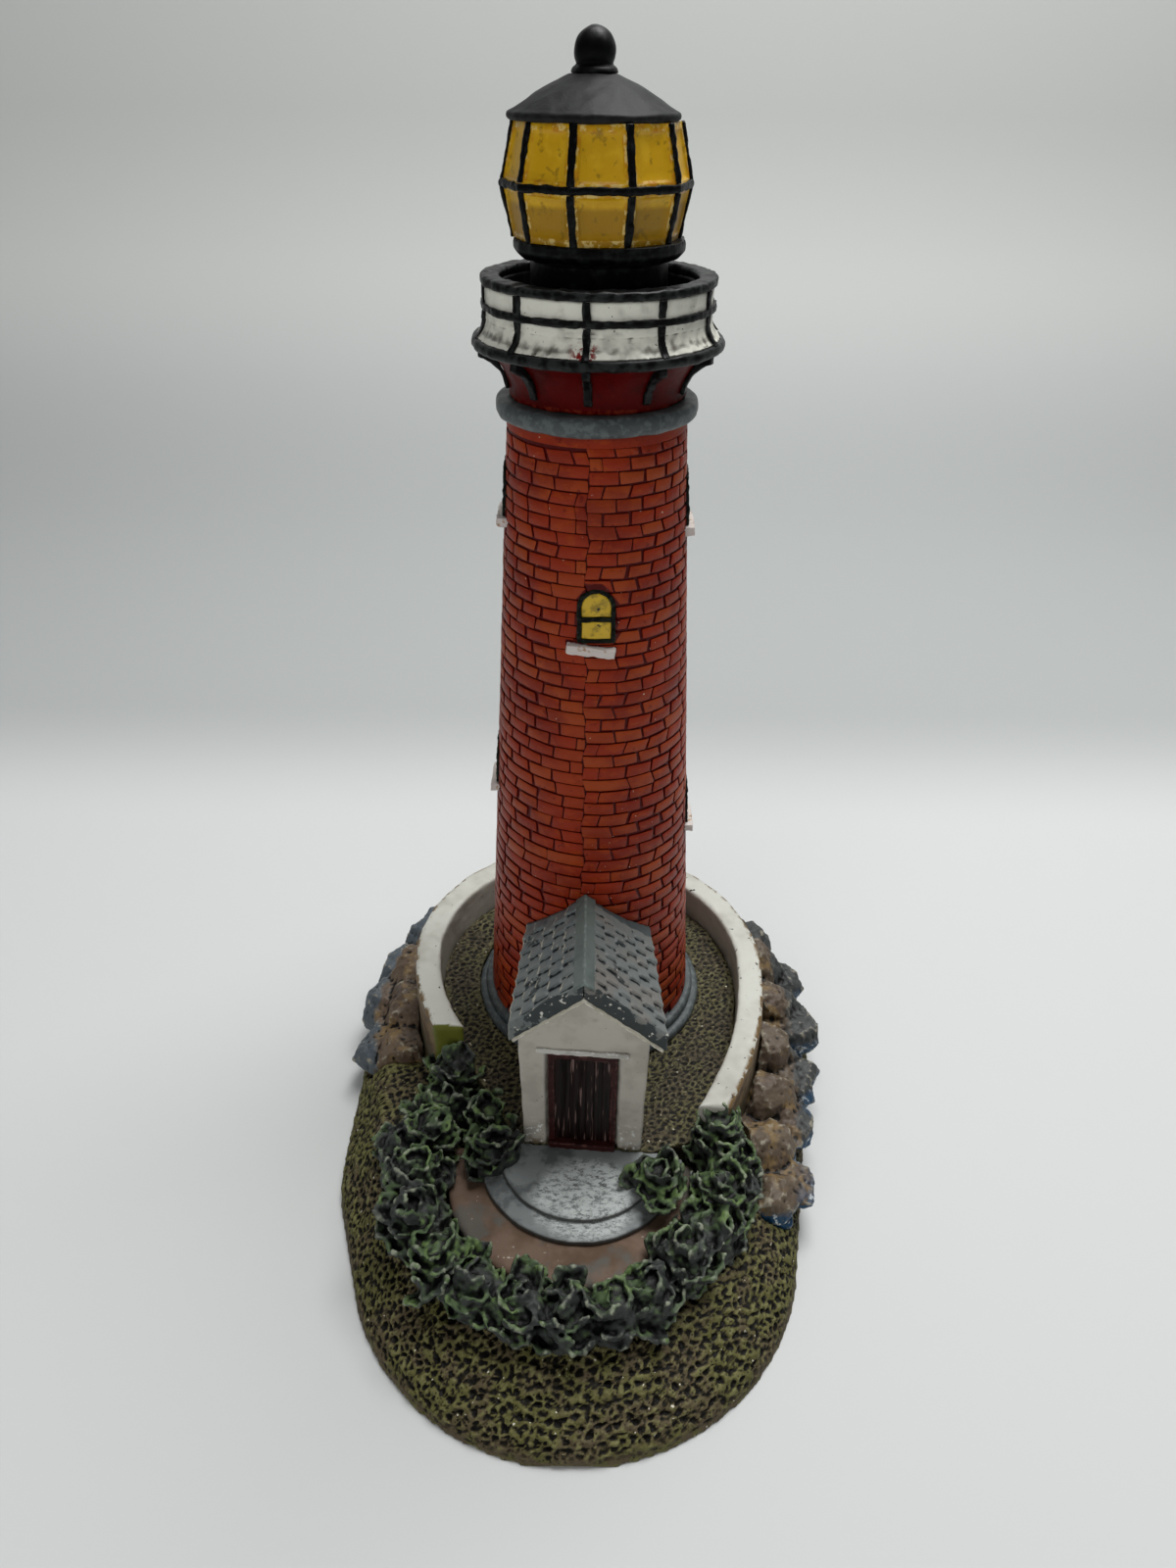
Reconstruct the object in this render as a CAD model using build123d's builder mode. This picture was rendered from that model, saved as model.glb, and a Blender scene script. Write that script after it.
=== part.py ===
"""Lighthouse figurine: a cast and hand-painted desk model, 230 mm tall.

A round brick tower with a gallery and a ten-sided lantern stands in a walled
garden.  A small gabled cottage leans on the front of the tower, with two round
steps, a terrace and a hedge before it, on a grassy mound that turns to rocks
and sea towards the back.

Millimetres, +Z up, the front faces -Y.  The origin is on the table, on the axis
of the tower.
"""

import os
from math import asin, atan, cos, degrees, radians, sin, sqrt, tan

from build123d import *

os.makedirs("parts", exist_ok=True)

# Shared clearances
FIT = 0.12  # round a piece that is let into, or laid against, a curved one
SKIN = 0.03  # between a turned piece and the trim that hugs it
OVERRUN = 6.0  # every cutting tool reaches this far past its work

# Mound: three rounds on the table, joined by straight sides, drawn in as it rises
FRONT_X = -2.6
FRONT_Y = -59.4
FRONT_R = 50.8
FLANK_X = -13.0
FLANK_Y = -41.0
FLANK_R = 46.6
BACK_Y = -2.0
MOUND_H = 13.0
FRONT_TOP_IN = 10.8
FRONT_TOP_SHIFT = 6.3
BACK_TOP_IN = 7.5

# Shore: a shelf cut into the mound outside the garden, for the sea and the rocks
SHELF_Z = 6.0
SEA_T = 2.2
SEA_IN = 2.6
SHORE_LEFT_Y = -20.0
SHORE_RIGHT_Y = -62.0
SHORE_NARROWING = 8.7
SHORE_W = 10.0
SHORE_LIP = 0.8
BOULDER_R = 9.0
BOULDER_H = 13.0
BOULDER_TURN = 47
SHORE_BAND_W = 7.5
SHORE_BAND_H = 5.5

# Garden wall: half round at the back, an arm down each side.  The middle of the
# shore and the mound's rim keep their distance from it.
WALL_R = 41.2
SHORE_OUT = 10.0
RIM_OUT = 18.3
WALL_W = 6.3
WALL_TOP_Z = 33.3
WALL_TOP_PITCH = 1.0
WALL_TOP_ROLL = 2.4
LEFT_ARM_R = 52.2
LEFT_ARM_REACH = 28.1
RIGHT_ARM_R = 95.0
RIGHT_ARM_REACH = 48.3
WALL_EDGE_R = 0.8

# Yard: turf that rises towards the back, inside the wall
YARD_Z = 23.2
YARD_PITCH = 3.6
YARD_ROLL = 1.5
YARD_LEFT_W = 15.0
YARD_RIGHT_W = 15.0

# Terrace, steps and hedge
TERRACE_X = -3.5
TERRACE_Y = -55.0
TERRACE_R = 27.6
TERRACE_T = 3.6
STEP_X = -1.4
STEP_Y = -50.4
STEP_UPPER_R = 18.6
STEP_TREAD = 4.4
STEP_LOWER_T = 1.5
STEP_UPPER_T = 1.5
STEP_EDGE_R = 0.5
HEDGE_BED_R = 41.5
HEDGE_LINE_OUT = 4.6
HEDGE_SPREAD = 6.0
BUSH_R = 7.4
BUSH_H = 11.5
BUSH_TURN = 23
SHRUB_R = 5.6
SHRUB_H = 8.8
SHRUB_LEFT_OUT = 19.5
SHRUB_LEFT_FORE = 4.2
SHRUB_RIGHT_OUT = 16.8
SHRUB_RIGHT_FORE = 8.6
SHRUB_LEFT_TURN = 20
SHRUB_RIGHT_TURN = 55
LUMP_TWIST = 52

# Tower: two plinth rings, a tapered shaft, a collar and a flared corbel
PLINTH_Z = 21.7
PLINTH_LOWER_R = 28.5
PLINTH_LOWER_T = 2.4
PLINTH_UPPER_R = 26.8
PLINTH_UPPER_T = 2.4
PLINTH_ROUND = 0.9
SHAFT_FOOT_R = 25.1
SHAFT_TOP_R = 17.1
SHAFT_H = 142.8
COLLAR_R = 19.1
COLLAR_T = 3.6
COLLAR_ROUND = 1.3
CORBEL_FOOT_R = 16.6
CORBEL_TOP_R = 21.0
CORBEL_H = 8.5
CORBEL_BAND_H = 1.2
CORBEL_BELLY_OUT_SHARE = 0.33
CORBEL_BELLY_UP_SHARE = 0.6

# Gallery: deck, parapet with a swept foot, rails, posts and brackets
GALLERY_COUNT = 10
GALLERY_PHASE = -95.6
DECK_R = 23.1
DECK_T = 2.0
DECK_ROUND = 0.8
PARAPET_R = 20.5
PARAPET_W = 2.8
PARAPET_H = 10.2
PARAPET_FOOT_R = 22.3
PARAPET_FOOT_H = 3.4
RAIL_OUT = 0.6
TOP_RAIL_T = 1.5
TOP_RAIL_BEVEL = 0.4
MID_RAIL_T = 1.2
MID_RAIL_UP = 4.6
POST_W = 1.4
BRACKET_W = 1.5
BRACKET_FOOT_OUT = 0.7
BRACKET_HEAD_R = 22.2
BRACKET_HEAD_T = 1.3
BRACKET_DROP = 6.9
BRACKET_BELLY_UP_SHARE = 0.72

# Lantern: pedestal, sill, ten-sided glazing in two tiers, bars, roof and finial.  The
# casting leans, so the glazing and the roof stand a little left of the tower's axis.
GLASS_X = -0.6
ROOF_X = -1.2
LANTERN_COUNT = 10
LANTERN_PHASE = -105.3
PEDESTAL_R = 12.2
PEDESTAL_H = 12.8
SILL_R = 15.1
SILL_T = 3.0
SILL_BEVEL = 1.3
GLASS_FOOT_R = 14.5
GLASS_WAIST_R = 16.2
GLASS_TOP_R = 14.1
GLASS_LOWER_H = 8.3
GLASS_UPPER_H = 9.1
BAR_W = 1.35
BAR_OUT = 0.45
WAIST_RING_T = 1.3
ROOF_R = 14.5
ROOF_LIP = 1.4
ROOF_H = 5.1
ROOF_BULGE = 0.3
NECK_R = 2.8
NECK_H = 1.2
NECK_FLARE = 1.1
BALL_R = 3.4

# Cottage: gabled block on a skewed front plane, its back scribed to the tower
COTTAGE_X = -1.2
COTTAGE_FRONT_Y = -50.5
COTTAGE_SKEW = 4.5
COTTAGE_FOOT_W = 26.6
COTTAGE_EAVE_W = 28.0
COTTAGE_DEPTH = 38.0
COTTAGE_NARROWING = 3.8
ROOF_LEFT_W = 15.6
ROOF_RIGHT_W = 17.2
ROOF_EAVE_H = 38.7
ROOF_RISE = 13.2
ROOF_T = 3.8
ROOF_OVERHANG = 2.3
RIDGE_CAP_HALF_W = 2.2
RIDGE_CAP_T = 0.7
BARGE_T = 2.2
BARGE_OUT = 1.1
BARGE_IN = 0.6

# Door of the cottage
DOOR_X = -0.2
DOOR_W = 15.0
DOOR_H = 29.0
DOOR_DEPTH = 1.7
DOOR_BEVEL = 24.0
DOOR_FRAME_W = 1.4
DOOR_FRAME_T = 1.3
DOOR_SILL_H = 1.7
DOOR_SILL_OUT = 0.9
DOOR_LEAF_T = 0.9
PLANK_COUNT = 7
PLANK_GROOVE_W = 0.35
PLANK_GROOVE_DEPTH = 0.35
LINTEL_REACH = 1.6
LINTEL_H = 1.3
LINTEL_T = 0.6
LINTEL_UP = 0.3

# Windows of the tower
WINDOW_W = 7.4
WINDOW_H = 10.9
WINDOW_FRAME_W = 0.8
WINDOW_BAR_H = 0.9
WINDOW_BAR_UP = 4.8
WINDOW_SUNK = 1.7
WINDOW_PROUD = 0.2
PANE_BACK = 0.35
WINDOW_SILL_W = 9.6
WINDOW_SILL_H = 1.8
WINDOW_SILL_OUT = 1.3
WINDOW_SILL_SUNK = 1.2
FRONT_WINDOW_BEARING = -89
FRONT_WINDOW_DOWN = 38.9
LEFT_UPPER_WINDOW_DOWN = 19.3
LEFT_LOWER_WINDOW_UP = 61.2
RIGHT_UPPER_WINDOW_DOWN = 20.7
RIGHT_LOWER_WINDOW_UP = 50.4

# The front window's sill is set askew: sideways, down and turned
FRONT_SILL_X = -1.0
FRONT_SILL_DOWN = 0.55
FRONT_SILL_TURN = -6.5

# Ripples cast in the turf, foot to top: height and draw-in of each level, as shares
RIPPLE_SHARES = (
    (0.0, 0.0),
    (0.10, 0.12),
    (0.20, 0.08),
    (0.30, 0.30),
    (0.38, 0.21),
    (0.48, 0.46),
    (0.55, 0.39),
    (0.64, 0.63),
    (0.70, 0.58),
    (0.78, 0.78),
    (0.84, 0.75),
    (0.92, 0.92),
    (1.0, 1.0),
)

# Radii of the corners of a lump, as shares of its size
CORNER_SHARES = (1.0, 0.82, 1.08, 0.78, 1.04, 0.86, 0.94)

# Levels of a lump: height, width and twist, each a share
LUMP_TIER_SHARES = (
    (0.0, 0.92, 0.0),
    (0.42, 1.05, 0.27),
    (0.80, 0.82, 0.60),
    (1.0, 0.42, 1.0),
)

# Boulders on the shore, an inner row against the wall and an outer row at the rim:
# place along the shore, place outwards, size and height, each a share
LEFT_BOULDER_SHARES = (
    (0.04, 0.22, 1.06, 0.86),
    (0.17, 0.05, 1.02, 1.16),
    (0.31, 0.12, 1.08, 1.24),
    (0.45, 0.02, 0.98, 1.10),
    (0.59, 0.14, 1.06, 1.28),
    (0.74, 0.04, 1.00, 1.08),
    (0.89, 0.12, 1.06, 1.18),
    (0.08, 0.92, 0.92, 0.62),
    (0.22, 0.80, 1.00, 0.80),
    (0.36, 0.94, 0.94, 0.66),
    (0.50, 0.82, 1.02, 0.86),
    (0.65, 0.95, 0.92, 0.64),
    (0.79, 0.80, 1.02, 0.82),
    (0.94, 0.92, 0.94, 0.68),
)
RIGHT_BOULDER_SHARES = (
    (0.03, 0.24, 0.86, 0.56),
    (0.12, 0.10, 0.92, 0.78),
    (0.22, 0.16, 0.90, 0.92),
    (0.32, 0.05, 0.98, 1.04),
    (0.43, 0.15, 0.94, 0.98),
    (0.54, 0.04, 1.00, 1.14),
    (0.66, 0.14, 0.96, 1.00),
    (0.78, 0.04, 1.00, 1.12),
    (0.90, 0.14, 0.96, 0.98),
    (0.07, 0.80, 0.76, 0.36),
    (0.18, 0.84, 0.84, 0.46),
    (0.28, 0.90, 0.88, 0.52),
    (0.40, 0.82, 0.92, 0.58),
    (0.52, 0.90, 0.86, 0.50),
    (0.63, 0.80, 0.92, 0.60),
    (0.75, 0.90, 0.88, 0.50),
    (0.87, 0.82, 0.92, 0.58),
    (0.97, 0.90, 0.86, 0.50),
)

# Bushes of the hedge: degrees round the terrace from the front, then size,
# height and outward shares
LEFT_BUSH_SHARES = (
    (-131, 0.80, 1.22, 0.95),
    (-117, 0.95, 0.80, 0.55),
    (-103, 0.86, 1.02, 0.15),
    (-97, 0.88, 0.72, 1.00),
    (-83, 0.98, 1.08, 0.45),
    (-66, 0.98, 0.98, 0.60),
    (-50, 0.94, 0.84, 0.50),
    (-122, 0.84, 0.80, -1.40),
)
FRONT_BUSH_SHARES = (
    (-33, 0.90, 0.74, 0.40),
    (-17, 0.94, 0.78, 0.34),
    (-1, 0.96, 0.74, 0.30),
    (15, 0.90, 0.78, 0.34),
    (30, 0.92, 0.72, 0.28),
)
RIGHT_BUSH_SHARES = (
    (46, 0.92, 0.98, 0.10),
    (61, 0.94, 0.88, 0.25),
    (76, 0.98, 1.04, 0.20),
    (90, 0.92, 0.92, 0.35),
    (101, 0.88, 1.36, 0.25),
)

# Sizes that follow from the ones above
TERRACE_Z = MOUND_H + TERRACE_T
STEP_TOP_Z = TERRACE_Z + STEP_LOWER_T
COTTAGE_Z = STEP_TOP_Z + STEP_UPPER_T
LEFT_SLOPE = ROOF_RISE / ROOF_LEFT_W
RIGHT_SLOPE = ROOF_RISE / ROOF_RIGHT_W
FRONT_WINDOW_UP = SHAFT_H - FRONT_WINDOW_DOWN
LEFT_UPPER_WINDOW_UP = SHAFT_H - LEFT_UPPER_WINDOW_DOWN
RIGHT_UPPER_WINDOW_UP = SHAFT_H - RIGHT_UPPER_WINDOW_DOWN
BACK_R = WALL_R + RIM_OUT
SHORE_R = WALL_R + SHORE_OUT
RIDGE_H = ROOF_EAVE_H + ROOF_RISE
SEA_Z = SHELF_Z + SEA_T
PLINTH_UPPER_Z = PLINTH_Z + PLINTH_LOWER_T
SHAFT_Z = PLINTH_UPPER_Z + PLINTH_UPPER_T
COLLAR_Z = SHAFT_Z + SHAFT_H
CORBEL_Z = COLLAR_Z + COLLAR_T
DECK_Z = CORBEL_Z + CORBEL_H
GALLERY_Z = DECK_Z + DECK_T
SILL_Z = GALLERY_Z + PEDESTAL_H
GLASS_Z = SILL_Z + SILL_T
WAIST_Z = GLASS_Z + GLASS_LOWER_H
ROOF_Z = WAIST_Z + GLASS_UPPER_H
NECK_Z = ROOF_Z + ROOF_LIP + ROOF_H

# Planes that several pieces share
COTTAGE_FRONT = Plane(
    origin=(COTTAGE_X, COTTAGE_FRONT_Y, COTTAGE_Z),
    x_dir=(cos(radians(COTTAGE_SKEW)), -sin(radians(COTTAGE_SKEW)), 0),
    z_dir=(-sin(radians(COTTAGE_SKEW)), -cos(radians(COTTAGE_SKEW)), 0),
)


def sloping_plane(height, pitch, roll):
    """A plane over the tower's axis that rises to the back and falls to the right."""
    return Plane(
        origin=(0, 0, height),
        x_dir=(1, 0, -tan(radians(roll))),
        z_dir=(tan(radians(roll)), -tan(radians(pitch)), 1),
    )


# The eaves draw together towards the tower, so the ridge falls as it goes back
LEFT_EAVE_RUN = Vector(tan(radians(COTTAGE_NARROWING)), 1, 0)
RIGHT_EAVE_RUN = Vector(-tan(radians(COTTAGE_NARROWING)), 1, 0)
LEFT_FALL = COTTAGE_FRONT.x_dir * -ROOF_LEFT_W - Vector(0, 0, ROOF_RISE)
RIGHT_FALL = COTTAGE_FRONT.x_dir * ROOF_RIGHT_W - Vector(0, 0, ROOF_RISE)
RIDGE_LINE = LEFT_EAVE_RUN.cross(LEFT_FALL).cross(RIGHT_EAVE_RUN.cross(RIGHT_FALL))
RIDGE_RUN = RIDGE_LINE * (1 / RIDGE_LINE.Y)
RIDGE_PLANE = Plane(
    origin=COTTAGE_FRONT.origin,
    x_dir=(0, 0, 1),
    z_dir=(1, -RIDGE_RUN.X, 0),
)
YARD_TOP = sloping_plane(YARD_Z, YARD_PITCH, YARD_ROLL)
WALL_TOP = sloping_plane(WALL_TOP_Z, WALL_TOP_PITCH, WALL_TOP_ROLL)


def save(piece, name, aside=0):
    """Label a finished piece, set it this far aside and write it under its name."""
    solid = piece.part.moved(Location((aside, 0, 0)))
    solid.label = name
    export_step(solid, f"parts/{name}.step")


def on_cottage_front(along):
    """The plan point at this distance along the cottage's front, from its middle."""
    spot = COTTAGE_FRONT.from_local_coords((along, 0, 0))
    return (spot.X, spot.Y)


def shaft_radius(height):
    """Radius of the shaft at this height above its foot."""
    return SHAFT_FOOT_R - (SHAFT_FOOT_R - SHAFT_TOP_R) * height / SHAFT_H


def mound_section(height, front_in, back_in, shift):
    """One outline of the mound: the hull of its three rounds."""
    with BuildSketch(Plane.XY.offset(height)) as section:
        with Locations((FRONT_X, FRONT_Y + shift)):
            Circle(FRONT_R - front_in)
        with Locations((FLANK_X, FLANK_Y)):
            Circle(FLANK_R - front_in)
        with Locations((0, BACK_Y)):
            Circle(BACK_R - back_in)
        make_hull()
    return section.sketch


def arm_ends(reach):
    """Ends of the left and right arms of the garden wall, this far off its middle."""
    left = (
        (LEFT_ARM_R - WALL_R) - sqrt((LEFT_ARM_R + reach) ** 2 - LEFT_ARM_REACH**2),
        -LEFT_ARM_REACH,
    )
    right = (
        (WALL_R - RIGHT_ARM_R) + sqrt((RIGHT_ARM_R + reach) ** 2 - RIGHT_ARM_REACH**2),
        -RIGHT_ARM_REACH,
    )
    return left, right


def wall_line(reach):
    """The three arcs of the garden wall in plan, this far outside its middle."""
    left_sweep = degrees(asin(LEFT_ARM_REACH / (LEFT_ARM_R + reach)))
    right_sweep = degrees(asin(RIGHT_ARM_REACH / (RIGHT_ARM_R + reach)))
    CenterArc((WALL_R - RIGHT_ARM_R, 0), RIGHT_ARM_R + reach, -right_sweep, right_sweep)
    CenterArc((0, 0), WALL_R + reach, 0, 180)
    CenterArc((LEFT_ARM_R - WALL_R, 0), LEFT_ARM_R + reach, 180, left_sweep)


def wall_band(grow):
    """Plan of the garden wall itself, grown all round by this clearance."""
    half = WALL_W / 2 + grow
    outer_left, outer_right = arm_ends(half)
    inner_left, inner_right = arm_ends(-half)
    with BuildSketch() as band:
        with BuildLine():
            wall_line(half)
            wall_line(-half)
            Line(outer_left, inner_left)
            Line(outer_right, inner_right)
        make_face()
    return band.sketch


def yard_plan(reach):
    """Plan inside a line this far off the wall, out to the cottage's front."""
    left, right = arm_ends(reach)
    with BuildSketch() as yard:
        with BuildLine():
            wall_line(reach)
            Polyline(
                left,
                on_cottage_front(-YARD_LEFT_W),
                on_cottage_front(YARD_RIGHT_W),
                right,
            )
        make_face()
    return yard.sketch


def shore_plan(side, grow):
    """Plan of the shelf outside the garden on one side, less this clearance."""
    reach = BACK_R + OVERRUN
    front_y = SHORE_LEFT_Y if side < 0 else SHORE_RIGHT_Y
    with BuildSketch() as shore:
        with BuildLine():
            Polyline(
                (side * grow, front_y + grow),
                (side * reach, front_y + grow),
                (side * reach, reach),
                (side * grow, reach),
                close=True,
            )
        make_face()
        add(yard_plan(WALL_W / 2 + FIT + grow), mode=Mode.SUBTRACT)
        with Locations((TERRACE_X, TERRACE_Y)):
            Circle(HEDGE_BED_R + grow, mode=Mode.SUBTRACT)
    return shore.sketch


def shore_spot(side, along, out):
    """A plan point on the shore, by shares of its run and of its width."""
    front_y = SHORE_LEFT_Y if side < 0 else SHORE_RIGHT_Y
    quarter_turn = radians(90)
    run = along * (SHORE_R * quarter_turn - front_y)
    drift = (out - 0.5) * SHORE_W
    if run < -front_y:
        narrowing = SHORE_NARROWING * (front_y + run) / SHORE_RIGHT_Y
        return side * (SHORE_R - narrowing + drift), front_y + run
    angle = (run + front_y) / SHORE_R
    return side * (SHORE_R + drift) * cos(angle), (SHORE_R + drift) * sin(angle)


def lump_section(x, y, z, size, turn, first):
    """One level of a lump: an uneven polygon, its corners taken from this one on."""
    count = len(CORNER_SHARES)
    corners = []
    for k in range(count):
        reach = size * CORNER_SHARES[(k + first) % count]
        angle = radians(turn + k * 360 / count)
        corners.append((reach * cos(angle), reach * sin(angle)))
    with BuildSketch(Plane((x, y, z))) as section:
        with BuildLine():
            Polyline(*corners, close=True)
        make_face()
    return section.sketch


def craggy_lump(x, y, foot, size, height, turn, first):
    """A faceted lump that is widest below its middle and twists as it rises."""
    sections = []
    for up, wide, twist in LUMP_TIER_SHARES:
        tier_turn = turn + LUMP_TWIST * twist
        sections.append(lump_section(x, y, foot + height * up, size * wide, tier_turn, first))
    loft(sections=sections, ruled=True)


def radial_slabs(count, phase, inner, outer, width):
    """Plan of spokes round the axis, each of this width."""
    with PolarLocations((inner + outer) / 2, count, start_angle=phase):
        Rectangle(outer - inner, width)


def tower_cutter(grow, foot):
    """Plinth and shaft in one solid, grown by this clearance, to scribe against."""
    with BuildPart() as tower:
        with BuildSketch(Plane.XZ):
            with BuildLine():
                Polyline(
                    (0, foot),
                    (PLINTH_LOWER_R + grow, foot),
                    (PLINTH_LOWER_R + grow, SHAFT_Z + grow),
                    (SHAFT_FOOT_R + grow, SHAFT_Z + grow),
                    (SHAFT_TOP_R + grow, COLLAR_Z),
                    (0, COLLAR_Z),
                    close=True,
                )
            make_face()
        revolve(axis=Axis.Z)
    return tower.part


def gable_prism(points, forward, backward, run=Vector(0, 1, 0)):
    """A prism along the cottage, its front parallel to the skewed front plane."""
    front = Plane(
        origin=COTTAGE_FRONT.origin - run * forward,
        x_dir=COTTAGE_FRONT.x_dir,
        z_dir=COTTAGE_FRONT.z_dir,
    )
    with BuildPart() as prism:
        with BuildSketch(front):
            with BuildLine():
                Polyline(*points, close=True)
            make_face()
        extrude(amount=(forward + backward) * run.length, dir=run)
    return prism.part


def narrowing_prism(points, forward, backward):
    """A prism along the cottage, both its sides drawn in towards the tower."""
    with BuildPart() as body:
        add(gable_prism(points, forward, backward, LEFT_EAVE_RUN))
        add(gable_prism(points, forward, backward, RIGHT_EAVE_RUN), mode=Mode.INTERSECT)
    return body.part


def cottage_seat():
    """The room for the cottage's foot in the turf, up to the tower's plinth."""
    half = COTTAGE_FOOT_W / 2 + FIT
    with BuildPart() as seat:
        room = ((-half, 0), (half, 0), (half, ROOF_EAVE_H), (-half, ROOF_EAVE_H))
        add(narrowing_prism(room, OVERRUN, COTTAGE_DEPTH))
        add(TOWER_CUTTER, mode=Mode.SUBTRACT)
    return seat.part


TOWER_SEAT = tower_cutter(FIT, PLINTH_Z)
TOWER_CUTTER = tower_cutter(FIT, 0)
COTTAGE_SEAT = cottage_seat()


# Mound
with BuildPart() as base_mound:
    levels = []
    for up, drawn in RIPPLE_SHARES:
        levels.append(
            mound_section(
                MOUND_H * up,
                FRONT_TOP_IN * drawn,
                BACK_TOP_IN * drawn,
                FRONT_TOP_SHIFT * up * up,
            )
        )
    loft(sections=levels, ruled=True)
    with BuildSketch(Plane.XY.offset(SHELF_Z)):
        add(shore_plan(-1, 0))
        add(shore_plan(1, 0))
    extrude(amount=MOUND_H - SHELF_Z + OVERRUN, mode=Mode.SUBTRACT)
save(base_mound, "base_mound")

# Sea on the right side of the shelf
with BuildPart() as sea_water:
    with BuildSketch(Plane.XY.offset(SHELF_Z)):
        add(shore_plan(1, FIT))
        add(mound_section(0, SEA_IN, SEA_IN, 0), mode=Mode.INTERSECT)
    extrude(amount=SEA_T)
save(sea_water, "sea_water")


def shore_rocks(side, foot, boulder_shares):
    """The boulders of one side, joined by a low band against the garden wall."""
    with BuildPart() as rocks:
        with BuildSketch(Plane.XY.offset(foot)):
            add(shore_plan(side, FIT))
            add(yard_plan(WALL_W / 2 + SHORE_BAND_W), mode=Mode.INTERSECT)
        extrude(amount=SHORE_BAND_H)
        for index, (along, out, size, height) in enumerate(boulder_shares):
            x, y = shore_spot(side, along, out)
            turn = index * BOULDER_TURN
            craggy_lump(x, y, foot, BOULDER_R * size, BOULDER_H * height, turn, index)
        with BuildSketch(Plane.XY.offset(foot)):
            add(shore_plan(side, FIT))
            add(mound_section(0, -SHORE_LIP, -SHORE_LIP, 0), mode=Mode.INTERSECT)
        extrude(amount=WALL_TOP_Z, mode=Mode.INTERSECT)
    return rocks


shore_rocks_left = shore_rocks(-1, SHELF_Z, LEFT_BOULDER_SHARES)
save(shore_rocks_left, "shore_rocks_left")
shore_rocks_right = shore_rocks(1, SEA_Z, RIGHT_BOULDER_SHARES)
save(shore_rocks_right, "shore_rocks_right")

# Garden wall
with BuildPart() as garden_wall:
    with BuildSketch(Plane.XY.offset(MOUND_H)):
        add(wall_band(0))
    extrude(amount=WALL_TOP_Z)
    split(bisect_by=WALL_TOP, keep=Keep.BOTTOM)
    fillet(garden_wall.faces().sort_by(Axis.Z)[-1].edges(), radius=WALL_EDGE_R)
save(garden_wall, "garden_wall")

# Yard: turf slab with level seats for the tower and the cottage
with BuildPart() as yard_turf:
    with BuildSketch(Plane.XY.offset(MOUND_H)):
        add(yard_plan(-WALL_W / 2 - FIT))
    extrude(amount=WALL_TOP_Z)
    split(bisect_by=YARD_TOP, keep=Keep.BOTTOM)
    add(TOWER_SEAT, mode=Mode.SUBTRACT)
    add(COTTAGE_SEAT, mode=Mode.SUBTRACT)
save(yard_turf, "yard_turf")

# Terrace and the two round steps, cut off level with the cottage's front
def terrace_slab(grow):
    """The terrace, grown all round by this clearance."""
    with BuildPart() as slab:
        with BuildSketch(Plane.XY.offset(MOUND_H)):
            with Locations((TERRACE_X, TERRACE_Y)):
                Circle(TERRACE_R + grow)
        extrude(amount=TERRACE_T)
        split(bisect_by=COTTAGE_FRONT.offset(-grow), keep=Keep.TOP)
    return slab


terrace_path = terrace_slab(0)
save(terrace_path, "terrace_path")


def round_step(radius, foot, thickness):
    """A round step in front of the cottage, with a soft rim."""
    with BuildPart() as step:
        with BuildSketch(Plane.XY.offset(foot)):
            with Locations((STEP_X, STEP_Y)):
                Circle(radius)
        extrude(amount=thickness)
        split(bisect_by=COTTAGE_FRONT, keep=Keep.TOP)
        rim = step.faces().sort_by(Axis.Z)[-1].edges().filter_by(GeomType.CIRCLE)
        fillet(rim.sort_by(SortBy.RADIUS)[-1], radius=STEP_EDGE_R)
    return step


step_lower = round_step(STEP_UPPER_R + STEP_TREAD, TERRACE_Z, STEP_LOWER_T)
save(step_lower, "step_lower")
step_upper = round_step(STEP_UPPER_R, STEP_TOP_Z, STEP_UPPER_T)
save(step_upper, "step_upper")


# Hedge round the terrace and a shrub at each corner of the cottage
def hedge(bush_shares, neighbours):
    """A run of bushes on the mound, fitted round the garden and its neighbours."""
    with BuildPart() as bushes:
        for index, (angle, size, height, out) in enumerate(bush_shares):
            reach = TERRACE_R + HEDGE_LINE_OUT + HEDGE_SPREAD * out
            x = TERRACE_X + reach * sin(radians(angle))
            y = TERRACE_Y - reach * cos(radians(angle))
            turn = angle + index * BUSH_TURN
            craggy_lump(x, y, MOUND_H, BUSH_R * size, BUSH_H * height, turn, index)
        add(terrace_slab(FIT).part, mode=Mode.SUBTRACT)
        with BuildSketch(Plane.XY.offset(MOUND_H)):
            add(yard_plan(-WALL_W / 2))
            add(wall_band(FIT))
        extrude(amount=WALL_TOP_Z, mode=Mode.SUBTRACT)
        for neighbour in neighbours:
            add(neighbour.part, mode=Mode.SUBTRACT)
    return bushes


hedge_left = hedge(LEFT_BUSH_SHARES, (step_lower, step_upper))
save(hedge_left, "hedge_left")
hedge_right = hedge(RIGHT_BUSH_SHARES, ())
save(hedge_right, "hedge_right")
hedge_front = hedge(FRONT_BUSH_SHARES, (hedge_left, hedge_right))
save(hedge_front, "hedge_front")


def shrub(out, fore, turn):
    """One low shrub beside the cottage, grown over the ends of the steps."""
    spot = COTTAGE_FRONT.from_local_coords((out, 0, fore))
    with BuildPart() as bush:
        craggy_lump(spot.X, spot.Y, TERRACE_Z, SHRUB_R, SHRUB_H, turn, 0)
        split(bisect_by=COTTAGE_FRONT.offset(FIT), keep=Keep.TOP)
        for neighbour in (hedge_left, hedge_right, step_lower, step_upper):
            add(neighbour.part, mode=Mode.SUBTRACT)
    return bush


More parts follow.
